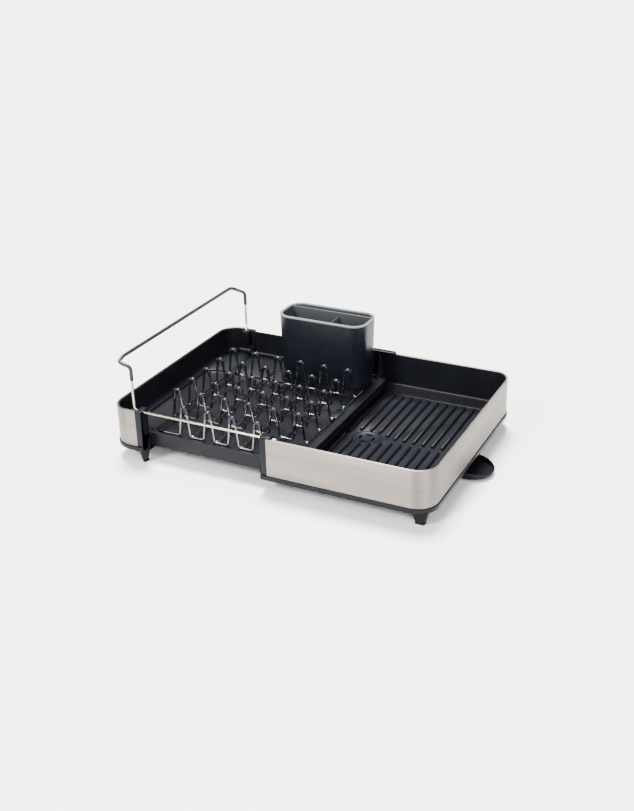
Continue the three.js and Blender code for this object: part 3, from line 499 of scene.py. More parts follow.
# Liner and rim: a deeper grain and little gloss, so both read as plain grey.
liner_grey = moulded("Polypropylene, moulded, grey liner", "#2e3134", "#35383b", 0.48, 0.02, 60, 0.3)
rim_grey = moulded("Polypropylene, moulded, light grey rim", "#5c5f62", "#65686b", 0.42, 0.015, 60, 0.3)
# Prong tips: dipped soft PVC, which flows smooth and takes sharp small highlights.
dip_dark = moulded("PVC, dip-coated wire tip", "#0b0d14", "#11141d", 0.20, 0.006, 6, 0.35, 0.2)
# Handle: a dipped rubbery coating, dull beside the bright wire that it covers.
coat_grey = moulded("TPR, dip-coated handle", "#1b1d20", "#232528", 0.42, 0.012, 12, 0.25, 0.2)
# Pads: die-cut rubber, almost without shine.
pad_rubber = moulded("EPDM rubber, die-cut pad", "#0d0e10", "#15161a", 0.75, 0.03, 8, 0.3)
steel = brushed_steel("Stainless steel, brushed sheet")
# Rack: plated wire with mirror-like streaks along each length.
chrome = bright_wire("Steel wire, chrome plated", "#5f5f60", "#787776", 0.08)
# Rail and handle wire: polished stainless, warmer than the plated rack.
champagne = bright_wire("Stainless wire, polished", "#8f887c", "#a0998c", 0.10)


# ---------------------------------------------------------------- geometry node groups
def group(name, sockets):
    tree = bpy.data.node_groups.new(name, "GeometryNodeTree")
    tree.interface.new_socket("Geometry", in_out="INPUT", socket_type="NodeSocketGeometry")
    for label, kind, value in sockets:
        made = tree.interface.new_socket(label, in_out="INPUT", socket_type="NodeSocket" + kind)
        if value is not None:
            made.default_value = value
    tree.interface.new_socket("Geometry", in_out="OUTPUT", socket_type="NodeSocketGeometry")
    entry = tree.nodes.new("NodeGroupInput")
    return tree, entry.outputs


def close_group(tree, entry, geometry):
    real = add(tree, "GeometryNodeRealizeInstances", {"Geometry": geometry})
    soft = add(tree, "GeometryNodeSetShadeSmooth", {"Geometry": real.outputs[0]})
    painted = add(tree, "GeometryNodeSetMaterial", {"Geometry": soft.outputs[0],
                                                    "Material": entry["Material"]})
    leave = tree.nodes.new("NodeGroupOutput")
    tree.links.new(painted.outputs[0], leave.inputs[0])


def wire_group():
    """A round wire along a path of edges, bent at its corners, with its ends domed."""
    tree, entry = group("Bent round wire", [("Wire radius", "Float", WIRE_R * MM), ("Bend", "Float", 0.004),
                                            ("Bend steps", "Int", 8), ("Sides", "Int", 16),
                                            ("Dome", "Float", 0.0005), ("Material", "Material", None)])
    line = add(tree, "GeometryNodeMeshToCurve", {"Mesh": entry["Geometry"]})
    bent = add(tree, "GeometryNodeFilletCurve", {"Curve": line.outputs[0], "Radius": entry["Bend"],
                                                 "Limit Radius": True}, mode="POLY")
    tree.links.new(entry["Bend steps"], bent.inputs["Count"])
    along = add(tree, "GeometryNodeSplineParameter").outputs["Length"]
    total = add(tree, "GeometryNodeSplineLength").outputs["Length"]
    left = add(tree, "ShaderNodeMath", {0: total, 1: along}, operation="SUBTRACT").outputs[0]
    near = add(tree, "ShaderNodeMath", {0: along, 1: left}, operation="MINIMUM").outputs[0]
    part = add(tree, "ShaderNodeMath", {0: near, 1: entry["Dome"]}, operation="DIVIDE", use_clamp=True)
    rest = add(tree, "ShaderNodeMath", {0: 1.0, 1: part.outputs[0]}, operation="SUBTRACT").outputs[0]
    square = add(tree, "ShaderNodeMath", {0: rest, 1: rest}, operation="MULTIPLY").outputs[0]
    inside = add(tree, "ShaderNodeMath", {0: 1.04, 1: square}, operation="SUBTRACT").outputs[0]
    size = add(tree, "ShaderNodeMath", {0: inside}, operation="SQRT", use_clamp=True).outputs[0]
    sized = add(tree, "GeometryNodeSetCurveRadius", {"Curve": bent.outputs[0], "Radius": size})
    ring = add(tree, "GeometryNodeCurvePrimitiveCircle", {"Radius": entry["Wire radius"],
                                                          "Resolution": entry["Sides"]})
    solid = add(tree, "GeometryNodeCurveToMesh", {"Curve": sized.outputs[0], "Scale": size,
                                                  "Profile Curve": ring.outputs[0], "Fill Caps": True})
    close_group(tree, entry, solid.outputs[0])
    return tree


def repeat_group():
    """Copies of a piece at every vertex of a second mesh, turned by that vertex's own angle."""
    tree, entry = group("Repeat at points", [("Points", "Object", None), ("Material", "Material", None)])
    places = add(tree, "GeometryNodeObjectInfo", {"Object": entry["Points"]})
    angle = add(tree, "GeometryNodeInputNamedAttribute", {"Name": "turn"}, data_type="FLOAT_VECTOR")
    copies = add(tree, "GeometryNodeInstanceOnPoints", {"Points": places.outputs["Geometry"],
                                                        "Instance": entry["Geometry"],
                                                        "Rotation": angle.outputs["Attribute"]})
    close_group(tree, entry, copies.outputs[0])
    return tree


WIRE = wire_group()
REPEAT = repeat_group()


def grow(made, tree, values):
    """Runs a node group on an object and keeps the mesh it makes."""
    change = made.modifiers.new("grow", "NODES")
    change.node_group = tree
    ids = {item.name: item.identifier for item in tree.interface.items_tree if item.in_out == "INPUT"}
    for key, value in values.items():
        change[ids[key]] = value
    return baked(made)


def path_object(name, paths):
    bm = bmesh.new()
    for path in paths:
        verts = [bm.verts.new(p) for p in place(path)]
        for a, b in zip(verts, verts[1:]):
            bm.edges.new((a, b))
    return linked(name, bm)


def wires(name, paths, material, radius=WIRE_R, bend=4.0, dome=0.5, sides=16, steps=8):
    """Round wires along these paths. Extra points near each end carry its dome."""
    dense = []
    for path in paths:
        points = [np.array(p, float) for p in path]
        first, last = points[1] - points[0], points[-2] - points[-1]
        first, last = first / np.linalg.norm(first), last / np.linalg.norm(last)
        shares = (0.06, 0.25, 0.6, 1.0)
        dense.append(points[:1] + [points[0] + first * dome * s for s in shares] + points[1:-1]
                     + [points[-1] + last * dome * s for s in reversed(shares)] + points[-1:])
    made = grow(path_object(name, dense), WIRE, {
        "Wire radius": radius * MM, "Bend": bend * MM, "Bend steps": steps, "Sides": sides,
        "Dome": dome * MM, "Material": material})
    return made


def repeated(name, unit, places, material, turns=None):
    points = path_object(name + "_places", [])
    mesh = bpy.data.meshes.new(name + "_places")
    mesh.from_pydata([Vector(p) * MM for p in places], [], [])
    turn = mesh.attributes.new("turn", "FLOAT_VECTOR", "POINT")
    for i, value in enumerate(turns or [0.0] * len(places)):
        turn.data[i].vector = (0, 0, value)
    points.data = mesh
    unit.name = name
    grow(unit, REPEAT, {"Points": points, "Material": material})
    bpy.data.objects.remove(points)
    return unit


def wear(made, material, body, slot, *nodes):
    """Gives a piece its finish, the body it rides on and the frame nodes it stands for."""
    made.data.materials.clear()
    made.data.materials.append(material)
    made.data.polygons.foreach_set("material_index", [0] * len(made.data.polygons))
    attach(made, body)
    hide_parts(*nodes)
    return made


# ---------------------------------------------------------------- outer tray
def end_shell(name, open_x, end_x, inner_profile):
    """The moulded wall, skirting and underside that both trays share."""
    profile = rounded([
        (UNDERSIDE_IN, PAN_Z, 0), (13, PAN_Z, 4), (-TRIM, TRIM_Z - 0.2, 1.2),
        (-TRIM, BAND_FOOT_Z - GAP, 0.9), (WALL_OUT, BAND_FOOT_Z - GAP, 0.25),
        (WALL_OUT, WALL_TOP_Z, 0.5), (WALL_IN, WALL_TOP_Z, 0.6),
        *inner_profile])
    return shell(name, profile, lambda inset: end_plan(inset, open_x, end_x))


def rib_spans():
    """Each rib's x and the y of its end nearest the tray's middle line."""
    spans = []
    x = FIRST_RIB_X
    while x > OPEN_X + 6:
        offset = abs(x - DRAIN_X)
        ring = math.sqrt(RIB_CLEAR_R ** 2 - offset ** 2) if offset < RIB_CLEAR_R else 0.0
        spans.append((x, max(6.0, ring * 0.62), ring))
        x -= RIB_PITCH
    return spans


def rib(name, x, near, far):
    """One drainage rib: a rounded ridge with steep square ends."""
    levels = []
    for z, inset in ((FLOOR_Z - 0.5, 0.0), (FLOOR_Z, 0.1), (FLOOR_Z + 0.4, 0.55), (FLOOR_Z + 4.0, 1.25),
                     (FLOOR_Z + 4.35, 1.4), (FLOOR_Z + 4.5, 1.75)):
        end = inset * 0.45
        levels.append((rectangle(x - 3 + inset, x + 3 - inset, near + end, far - end, 0.7, 3), z))
    return stack(name, levels)


def foot(name, cx, cy, low, high):
    """A tapering moulded foot: low and high are (length, depth, z)."""
    levels = []
    for share, inset in ((0.0, 1.2), (0.06, 0.3), (0.14, 0.0), (0.5, 0.0), (1.0, 0.0)):
        long = low[0] + (high[0] - low[0]) * share - 2 * inset
        deep = low[1] + (high[1] - low[1]) * share - 2 * inset
        outline = rectangle(cx - long / 2, cx + long / 2, cy - deep / 2, cy + deep / 2, 2.6 - inset, 5)
        levels.append((outline, low[2] + (high[2] - low[2]) * share))
    return stack(name, levels)


outer_body = end_shell("outer_body", OPEN_X, 0.0, [
    (WALL_IN, 34.5, 5), (18.8, FLOOR_Z + 1.4, 6), (26, FLOOR_Z, 4), (UNDERSIDE_IN, FLOOR_Z, 0)])
seat = turned("seat", [(0, 18.6), (DRAIN_R + 0.3, 18.6), (DRAIN_R + 0.3, 20.0), (DRAIN_R + 0.8, 20.7),
                       (DRAIN_R + 1.6, FLOOR_Z), (DRAIN_R + 3.6, 23.0), (DRAIN_R + 3.6, 32), (0, 32)],
              DRAIN_X, 0)
drain = turned("drain", [(0, 8), (DRAIN_HOLE_R, 8), (DRAIN_HOLE_R, 20), (0, 20)], DRAIN_X, 0)
outer_body = cut(outer_body, seat, drain)
neck = turned("neck", [(DRAIN_HOLE_R, 9), (15.4, 9), (16, 9.6), (16, 16.6), (DRAIN_HOLE_R, 16.6)],
              DRAIN_X, 0)

far_y = HALF - RIB_END_IN
ribs, pips = [], []
for x, near, ring in rib_spans():
    ribs += [rib("rib", x, near, far_y), rib("rib", x, -far_y, -near)]
    if ring < DRAIN_R:
        pips.append((END_FACE + x, near - 3.8, FLOOR_Z - 0.1))
pip_section = ((2.1, -0.2), (2.0, 0.2), (1.8, 1.0), (1.1, 1.4))
pip = stack("pip", [(arc(0, 0, radius, 0, 345, 23), z) for radius, z in pip_section])
pip.data.transform(Matrix.Translation((-END_FACE * MM, 0, 0)))
pips = repeated("outer_tray_pips", pip, pips, charcoal)

corner_x = -CORNER_R * 0.62
corner_y = HALF - CORNER_R * 0.42
feet = []
for side in (-1, 1):
    feet.append(foot("foot", corner_x, side * corner_y, (15, 9.9, PAD_TOP_Z), (25, 16.5, 21)))
    feet.append(foot("foot", OPEN_X + 13, side * INBOARD_FOOT_Y, (15, 9.9, PAD_TOP_Z), (24, 15.8, 17.5)))
    wall = (HALF - WALL_IN - 0.6, HALF)
    low_y, high_y = wall if side > 0 else (-wall[1], -wall[0])
    feet.append(block("post", (OPEN_X, low_y, TRIM_Z), (OPEN_X + POST_W, high_y, RIM_Z), 0.9, 0.7))
outer_tray = smooth(joined("outer_tray_moulding", [outer_body, neck, *ribs, *feet]))
wear(outer_tray, charcoal, "outer", "charcoal", "outer_tray")
wear(pips, charcoal, "outer", "charcoal")


# ---------------------------------------------------------------- steel bands
def steel_band(name, open_x, end_x):
    """Sheet steel with a hemmed top: a rolled outer edge, a dark groove and a returned inner edge."""
    profile = rounded([
        (0, BAND_FOOT_Z, 0.25), (0, RIM_Z, 0.8), (1.5, RIM_Z, 0.4), (1.6, RIM_Z - 0.9, 0.15),
        (2.4, RIM_Z - 0.9, 0.15), (2.5, RIM_Z - 0.05, 0.4), (3.6, RIM_Z - 0.15, 0.5),
        (3.6, WALL_TOP_Z + 0.2, 0.2), (1.0, WALL_TOP_Z + 0.2, 0.15), (1.0, BAND_FOOT_Z, 0.2)],
        steps=4, closed=True)
    rings = [[(x, y, z) for x, y in end_plan(inset, open_x, end_x)] for inset, z in profile]
    return smooth(grid(name, rings, closed_section=True), 50)


wear(steel_band("outer_steel_wrap", OPEN_X + POST_W + GAP, 0.0), steel, "outer", "steel",
     "outer_steel_band")
wear(steel_band("inner_steel_wrap", POST_X - POST_W - GAP, END_X), steel, "inner", "steel",
     "inner_steel_band")


# ---------------------------------------------------------------- strainer
def strainer_disc():
    disc = turned("disc", [(0, 18.9), (DRAIN_R - 0.6, 18.9), (DRAIN_R - 0.1, 19.3), (DRAIN_R - 0.1, 20.4),
                           (DRAIN_R - 0.6, 20.8), (DRAIN_R - 3.0, 20.8), (DRAIN_R - 4.2, 20.3), (4.6, 20.0),
                           (2.4, 20.0), (0, 20.0)], DRAIN_X, 0)
    slots = []
    for number in range(STRAINER_SLOTS):
        middle = 360 // STRAINER_SLOTS * number
        first, last = middle - SLOT_HALF_ANGLE, middle + SLOT_HALF_ANGLE
        outline = (arc(DRAIN_X, 0, SLOT_R + SLOT_HALF, first, last, 12)
                   + arc(DRAIN_X, 0, SLOT_R - SLOT_HALF, last, first, 12))
        slots.append(stack("slot", [(outline, 17), (outline, 19.9), (outline, 22)]))
    return smooth(cut(disc, *slots))


wear(strainer_disc(), charcoal, "outer", "charcoal", "drain_strainer").name = "drain_strainer_disc"


# ---------------------------------------------------------------- clips on the outer tray
clip_low = (OPEN_X + 0.3, -HALF + 0.2, RIM_Z + 0.3)
clip_high = (OPEN_X + 17.3, -HALF + 13.4, RIM_Z + 2.9)
inside = -(HALF - WALL_IN) + GAP
clip = joined("front_rail_clip", [
    block("plate", clip_low, clip_high, 2.2, 0.8),
    block("jaw", (clip_low[0], inside, RAIL_Z - 5.5), (clip_high[0], inside + 8, RIM_Z + 1.2), 1.6, 0.8)])
bore = wires("bore", [[(clip_low[0] - 3, -RAIL_Y, RAIL_Z), (clip_high[0] + 3, -RAIL_Y, RAIL_Z)]],
             charcoal, 2.5, 1.0, 0.1)
wear(smooth(cut(clip, bore)), charcoal, "outer", "charcoal", "front_rail_guide")

saddle = joined("rear_wall_saddle", [
    block("plate", (OPEN_X + 0.3, BACK_WALL_Y - 3.8, RIM_Z + 0.3), (OPEN_X + 64, HALF + 1.7, RIM_Z + 2.8),
          5.2, 0.9),
    block("lip", (OPEN_X + 3, HALF + 0.3, RIM_Z - 8), (OPEN_X + 60, HALF + 1.7, RIM_Z + 1.6), 0.7, 0.5)])
wear(smooth(saddle), charcoal, "outer", "charcoal", "rear_wall_guide")


# ---------------------------------------------------------------- inner tray
# Points along each stretch of the sliding part's plan, and where its right wall steps up at the back
FRONT_RUN, SKIRT_RUN, FRONT_TURN, RIGHT_RUN, BACK_TURN, BACK_RUN = 8, 3, 12, 8, 24, 9
STEP_START, STEP_LENGTH = 0.58, 0.2


def slide_plan(inset):
    """Round the sliding part of the inner tray, from the front post to the back one."""
    low, high, right = LEDGE_Y + inset, BACK_WALL_Y - inset, INNER_EDGE_X - inset
    front_r, back_r = max(FRONT_R - inset, 1.5), max(BACK_R - inset, 1.5)
    skirt_end = min(INNER_EDGE_X - 17.0, right - front_r - 1.0)
    points = spaced((SLIDE_OPEN_X, low), (skirt_end, low), FRONT_RUN)
    points += spaced((skirt_end, low), (right - front_r, low), SKIRT_RUN)
    points += arc(right - front_r, low + front_r, front_r, -90, 0, FRONT_TURN)[:-1]
    points += spaced((right, low + front_r), (right, high - back_r), RIGHT_RUN)
    points += arc(right - back_r, high - back_r, back_r, 0, 90, BACK_TURN)[:-1]
    points += spaced((right - back_r, high), (SLIDE_OPEN_X, high), BACK_RUN - 1)
    return points + [np.array([SLIDE_OPEN_X, high])]


def slide_profile(foot_z, top_z, plateau, slope, fillet):
    return rounded([
        (34, 38, 0), (SLIDE_WALL, 38, 2.5), (SLIDE_WALL, foot_z, 0.7), (0, foot_z, 0.7), (0, top_z, 1.3),
        (plateau, top_z, 1.2), (plateau + slope, DECK_Z, fillet), (34, DECK_Z, 0)])


def sliding_body():
    """Skirt, deck, raised right edge and back wall, each section blending into the next round the plan."""
    front = slide_profile(FRONT_SKIRT_Z, DECK_Z + 0.02, 4.0, 2.0, 0.4)
    mid_front = slide_profile(SKIRT_Z, DECK_Z + 0.02, 4.0, 2.0, 0.4)
    right = slide_profile(SKIRT_Z, DECK_Z + 3, 12.5, 2.5, 1.5)
    back = slide_profile(SKIRT_Z, WALL_TOP_Z, SLIDE_WALL, 0.2, 6.0)
    turn_from = FRONT_RUN + SKIRT_RUN
    right_from = turn_from + FRONT_TURN
    back_turn_from = right_from + RIGHT_RUN
    back_from = back_turn_from + BACK_TURN
    plans = {}
    columns = []
    for c in range(back_from + BACK_RUN):
        if c <= FRONT_RUN:
            mix = (front, front, 0.0)
        elif c < turn_from:
            mix = (mid_front, mid_front, 0.0)
        elif c < right_from:
            mix = (mid_front, right, (c - turn_from) / FRONT_TURN)
        elif c < back_turn_from:
            mix = (right, right, 0.0)
        elif c < back_from:
            turned_part = (c - back_turn_from) / BACK_TURN
            mix = (right, back, min(1.0, max(0.0, (turned_part - STEP_START) / STEP_LENGTH)))
        else:
            mix = (back, back, 0.0)
        share = mix[2] * mix[2] * (3 - 2 * mix[2])
        column = []
        for (a0, z0), (a1, z1) in zip(mix[0], mix[1]):
            inset = round(float(a0 + (a1 - a0) * share), 4)
            if inset not in plans:
                plans[inset] = slide_plan(inset)
            x, y = plans[inset][c]
            column.append((x, y, z0 + (z1 - z0) * share))
        columns.append(column)
    rings = [[column[k] for column in columns] for k in range(len(columns[0]))]
    return grid("sliding_body", rings)


def basin_cutter():
    """Recess of the inner tray: a flat floor with a curved shoulder all round."""
    low = (END_X + 15, LEDGE_Y + 14)
    high = (STRIP_X - 1.5, 86.0)
    levels = []
    for z, inset in ((BASIN_Z, 2.2), (BASIN_Z + 0.3, 1.1), (BASIN_Z + 1.0, 0.35), (BASIN_Z + 2.0, 0.0),
                     (DECK_Z - 1.0, -0.1), (DECK_Z - 0.3, -0.5), (DECK_Z + 0.02, -1.4), (DECK_Z + 3, -1.5)):
        levels.append((rectangle(low[0] + inset, high[0] - inset, low[1] + inset, high[1] - inset,
                                 20 - inset, 10), z))
    return stack("basin_cutter", levels)


end_body = end_shell("end_body", POST_X, END_X, [(WALL_IN, DECK_Z, 8), (UNDERSIDE_IN, DECK_Z, 0)])
under = block("under", (END_X + 12, -HALF + 12, PAN_Z + 3), (POST_X + 9, HALF - 12, 38), 14, 1)
end_body = cut(end_body, under, basin_cutter())
slide_body = cut(sliding_body(), basin_cutter(),
                 block("outlet", (STRIP_X - 12, -12, BASIN_Z), (INNER_EDGE_X + 5, 12, 44), 1.4, 0.5))

inner_parts = [end_body, slide_body]
for side in (-1, 1):
    low_y, high_y = (-HALF, -HALF + 20) if side < 0 else (HALF - 20, HALF)
    mid_y = (low_y + high_y) / 2
    post_left = POST_X - POST_W
    post_top = RIM_Z if side < 0 else DECK_Z
    inner_parts.append(block("post", (post_left, low_y, TRIM_Z), (POST_X, high_y, post_top), 1.4, 0.9))
    if side > 0:
        inner_parts.append(block("post", (post_left, BACK_WALL_Y - SLIDE_WALL, TRIM_Z),
                                 (POST_X, high_y, RIM_Z), 1.4, 0.9))
    inner_parts.append(foot("blade", POST_X - POST_W / 2, mid_y, (6.4, 11, PAD_TOP_Z),
                            (POST_W, 19.4, TRIM_Z + 1)))
    wall = HALF - WALL_IN + 1
    socket_low = -wall if side < 0 else wall - 11
    inner_parts.append(block("socket", (END_X + 36, socket_low, 64),
                             (post_left + 2, socket_low + 11, WALL_TOP_Z + 0.1), 2.4, 1.0))
tongue_section = ((0, 44.2), (0, 48.3), (0.3, 49.0), (1.0, 49.7), (1.8, 50.0))
tongue = stack("tongue", [(rectangle(EDGE_X - 7 + inset, STRIP_X + 4 - inset, TONGUE_LOW + inset,
                                     TONGUE_HIGH - inset, 4 - inset, 5), z) for inset, z in tongue_section])
boss = block("boss", (RAIL_END_X - 6, -RAIL_Y - 3, 40), (RAIL_END_X + 6, LEDGE_Y + 3, 52), 3.0, 1.2)
inner_tray = smooth(joined("inner_tray_moulding", [*inner_parts, tongue, boss]))
wear(inner_tray, charcoal, "inner", "charcoal", "inner_tray")


# ---------------------------------------------------------------- support wire and handle
rail = [(RAIL_END_X, -RAIL_Y, RAIL_FOOT_Z), (RAIL_END_X, -RAIL_Y, RAIL_Z), (LEG_X, -RAIL_Y, RAIL_Z)]
handle = [(LEG_X, -RAIL_Y, KNEE_Z), (BAR_X, -RAIL_Y, KNEE_Z + KNEE_RISE),
          (BAR_X, -RAIL_Y + BAR_CORNER, BAR_Z), (BAR_X, RAIL_Y - BAR_CORNER, BAR_Z),
          (BAR_X, RAIL_Y, KNEE_Z + KNEE_RISE), (LEG_X, RAIL_Y, KNEE_Z)]
rail_and_handle = rail + handle + [(LEG_X, RAIL_Y, LEG_FOOT_Z)]
wear(wires("front_rail_and_handle_wire", [rail_and_handle], champagne, RAIL_R, 7.0, 0.6, 20, 10),
     champagne, "inner", "wire", "support_wire")
sleeve = [(LEG_X, -RAIL_Y, SLEEVE_FOOT_Z)] + handle + [(LEG_X, RAIL_Y, SLEEVE_FOOT_Z)]
wear(wires("handle_grip_coating", [sleeve], coat_grey, SLEEVE_R, 7.0, 1.6, 24, 10),
     coat_grey, "inner", "sleeve", "handle_sleeve")


# ---------------------------------------------------------------- plate rack
def prong(x, y, foot_z):
    """The four corners of one upright prong."""
    return [(x - PRONG_FOOT, y, foot_z), (x - PRONG_HEAD, y, HEAD_Z), (x + PRONG_HEAD, y, HEAD_Z),
            (x + PRONG_FOOT, y, foot_z)]


def dips(name, columns, y, foot_z):
    """The dipped ends of a row: one bent tip, repeated at each prong."""
    left, head, other, right = [np.array(p) for p in prong(0, 0, foot_z)]
    share = DIP_LENGTH / math.dist(left, head)
    path = [head + (left - head) * share, head, other, other + (right - other) * share]
    unit = wires("tip", [path], dip_dark, TIP_R, 3.7, 2.2, 18, 8)
    unit.data.transform(Matrix.Translation((-END_FACE * MM, 0, 0)))
    return repeated(name, unit, [(END_FACE + x, y, 0) for x in columns], dip_dark)


columns = [LAST_X - k * PITCH_X for k in range(COLUMNS)]
front_columns = columns[1:COLUMNS - 1]
loop = [(LOOP_X, 111, BASE_Z), (LOOP_X, FRONT_ROW_Y, BASE_Z)]
for x in reversed(front_columns):
    loop += prong(x, FRONT_ROW_Y, BASE_Z)
loop += [(EDGE_X, FRONT_ROW_Y, BASE_Z), (EDGE_X, TONGUE_LOW - WIRE_END_CLEAR, BASE_Z)]
wear(wires("rack_front_loop", [loop], chrome, WIRE_R, 4.6), chrome, "rack", "wire", "rack_loop_wire")
wear(dips("rack_front_tips", front_columns, FRONT_ROW_Y, BASE_Z), dip_dark, "rack", "charcoal")
right_wire = [(EDGE_X, TONGUE_HIGH + WIRE_END_CLEAR, BASE_Z), (EDGE_X, 103, BASE_Z)]
wear(wires("rack_right_wire", [right_wire], chrome), chrome, "rack", "wire", "rack_edge_wire")

base_x = [x + PRONG_FOOT + WIRE_R for x in front_columns]
for number, x in enumerate(base_x, 1):
    low, high = box_mm(f"rack_base_wire_{number}")
    line = [(x, FRONT_ROW_Y + WIRE_R + 0.1, BASE_Z), (x, high[1], BASE_Z)]
    wear(wires(f"rack_base_{number}", [line], chrome), chrome, "rack", "wire", f"rack_base_wire_{number}")

weld_places = []
for row in range(1, ROWS + 1):
    y = FIRST_ROW_Y + (row - 1) * PITCH_Y
    path = [(columns[-1] - PRONG_FOOT - ROW_TAIL, y, ROW_Z)]
    for x in reversed(columns):
        path += prong(x, y, ROW_Z)
    path.append((columns[0] + PRONG_FOOT + ROW_TAIL, y, ROW_Z))
    row_wire = wires(f"rack_row_wire_{row}", [path], chrome, WIRE_R, 4.0)
    wear(row_wire, chrome, "rack", "wire", f"rack_row_{row}")
    wear(dips(f"rack_row_tips_{row}", columns, y, ROW_Z), dip_dark, "rack", "charcoal")
    weld_places += [(END_FACE + x, y, (BASE_Z + ROW_Z) / 2) for x in [LOOP_X, *base_x, EDGE_X]]
weld_section = [(0, -2.1), (1.0, -1.7), (1.75, -0.8), (1.9, 0), (1.75, 0.8), (1.0, 1.7), (0, 2.1)]
weld = turned("weld", weld_section, 0, 0, 16)
weld.data.transform(Matrix.Translation((-END_FACE * MM, 0, 0)))
wear(repeated("rack_welds", weld, weld_places, chrome), chrome, "rack", "wire")


# ---------------------------------------------------------------- cutlery holder
def holder_plan(inset):
    return rectangle(HOLDER_LEFT + inset, HOLDER_RIGHT - inset, HOLDER_FRONT + inset, HOLDER_BACK - inset,
                     HOLDER_CORNER_R - inset, 12)


def holder_solid(name, profile):
    return smooth(stack(name, [(holder_plan(inset), z) for inset, z in rounded(profile, 5)]))


def drain_slots():
    """Tools that cut the row of slots through the holder's floor."""
    mid_x, mid_y = (HOLDER_LEFT + HOLDER_RIGHT) / 2, (HOLDER_FRONT + HOLDER_BACK) / 2
    half_x, half_y = HOLDER_SLOT_HALF
    slots = []
    for number in range(-2, 3):
        x = number * HOLDER_SLOT_PITCH
        outline = rectangle(mid_x + x - half_x, mid_x + x + half_x, mid_y - half_y, mid_y + half_y, 2.9, 5)
        slots.append(stack("slot", [(outline, 40), (outline, 60), (outline, 78)]))
    return slots


shell_top = RIM_FOOT_Z - GAP
cup = holder_solid("cutlery_holder_shell", [
    (9, HOLDER_FOOT_Z, 0), (4.4, HOLDER_FOOT_Z, 1.2), (4.0, 49, 3), (0.15, shell_top, 0.4),
    (2.2, shell_top, 0.5), (6.2, 51, 3), (12, 51, 0)])
wear(smooth(cut(cup, *drain_slots())), holder_navy, "cutlery_holder", "charcoal", "holder_shell")
lining = holder_solid("cutlery_holder_liner", [
    (12, LINER_FLOOR - LINER_WALL, 0), (6.6, LINER_FLOOR - LINER_WALL, 2.5), (3.2, 152, 2),
    (3.2, HOLDER_TOP - 1.6, 0.2), (4.8, HOLDER_TOP - 1.6, 0.4), (8.0, LINER_FLOOR, 4), (16, LINER_FLOOR, 0)])
knife_y = liner_high[1] - 4.8 - 11
knife_wall = block("wall", (HOLDER_LEFT + 4.3, knife_y - 2.8, LINER_FLOOR - 1),
                   (HOLDER_RIGHT - 4.3, knife_y, HOLDER_TOP - 1), 0.8, 0.8)
lining = joined("cutlery_holder_liner", [cut(lining, *drain_slots()), knife_wall])
wear(smooth(lining), liner_grey, "cutlery_holder", "liner", "holder_liner")
rim_section = rounded([(0.1, RIM_FOOT_Z, 0.5), (0.1, HOLDER_TOP, 0.9), (RIM_W, HOLDER_TOP, 0.9),
                       (RIM_W, RIM_FOOT_Z, 0.4)], 4, closed=True)
rim_rings = [[(x, y, z) for x, y in holder_plan(inset)] for inset, z in rim_section]


wear(smooth(closed_loop("cutlery_holder_rim", rim_rings)), rim_grey, "cutlery_holder", "liner")
wear(smooth(block("cutlery_divider", (divider_low[0] - END_FACE, divider_low[1], divider_low[2]),
                  (divider_high[0] - END_FACE, divider_high[1], divider_high[2]), 0.7, 0.7)),
     liner_grey, "cutlery_holder", "liner", "holder_divider")


# ---------------------------------------------------------------- spout
def spout_outline():
    """Plan of the spout: a round hub, straight sides and a blunt rounded lip."""
    tip = []
    for angle in np.linspace(-90, 90, 41):
        across, along = math.sin(math.radians(angle)), math.cos(math.radians(angle))
        tip.append(np.array([LIP_X - LIP_LENGTH + LIP_LENGTH * max(along, 0.0) ** 0.9,
                             SPOUT_HALF * math.copysign(abs(across) ** 0.9, across)]))
    hub = arc(DRAIN_X, 0, 27, 100, 260, 20)
    sides = spaced(hub[-1], tip[0], 24)
    return sides + tip[:-1] + spaced(tip[-1], hub[0], 24) + hub[:-1]


def inward(outline, distance):
    """The outline moved inward by this distance, along its own normals."""
    points = np.array(outline)
    along = np.roll(points, -1, axis=0) - np.roll(points, 1, axis=0)
    along /= np.linalg.norm(along, axis=1)[:, None]
    return points + np.stack([-along[:, 1], along[:, 0]], axis=1) * distance


def spout_top(x):
    """Height of the side walls: level under the tray, then falling in a curve to the lip."""
    share = min(1.0, max(0.0, (x - (LIP_X - SPOUT_FALL_LENGTH)) / SPOUT_FALL_LENGTH))
    return SPOUT_SIDE_Z - SPOUT_FALL * share ** 2.2


# Each ring round the trough: its inset, its height, and whether that is measured from the side walls' top
SPOUT_SECTION = ((4.0, 3.0, False), (1.6, 3.15, False), (0.4, 4.0, False), (0.0, 5.2, False),
                 (0.0, -0.7, True), (0.25, -0.15, True), (0.9, 0.0, True), (1.8, -0.15, True),
                 (2.2, -0.7, True), (2.3, 6.3, False), (2.9, 5.5, False), (4.2, 5.2, False),
                 (7.0, 5.2, False))
outline = spout_outline()
spout_rings = []
for inset, base, from_top in SPOUT_SECTION:
    ring = []
    for x, y in inward(outline, inset):
        top = spout_top(x)
        ring.append((x, y, base + top if from_top else min(base, top - 0.9)))
    spout_rings.append(ring)
spout = grid("spout_trough", spout_rings, around=True)
cover_section = [(22, 12), (26.5, 12), (26.9, 12.4), (26.9, 13.8), (26.5, SPOUT_SIDE_Z), (22, SPOUT_SIDE_Z)]
cover = turned("cover", cover_section, DRAIN_X, 0)
wear(smooth(joined("drain_spout", [spout, cover])), charcoal, "spout", "charcoal", "spout_arm")

# ---------------------------------------------------------------- frame nodes that stay as they are
for name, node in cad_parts.items():
    if not node.hide_render:
        node.data.materials.clear()
        node.data.materials.append(charcoal if name == "spout_collar" else pad_rubber)


# ---------------------------------------------------------------- studio
def plane(name, size, location):
    bm = bmesh.new()
    bmesh.ops.create_grid(bm, x_segments=1, y_segments=1, size=size)
    made = new_object(name, bm)
    made.location = location
    return made


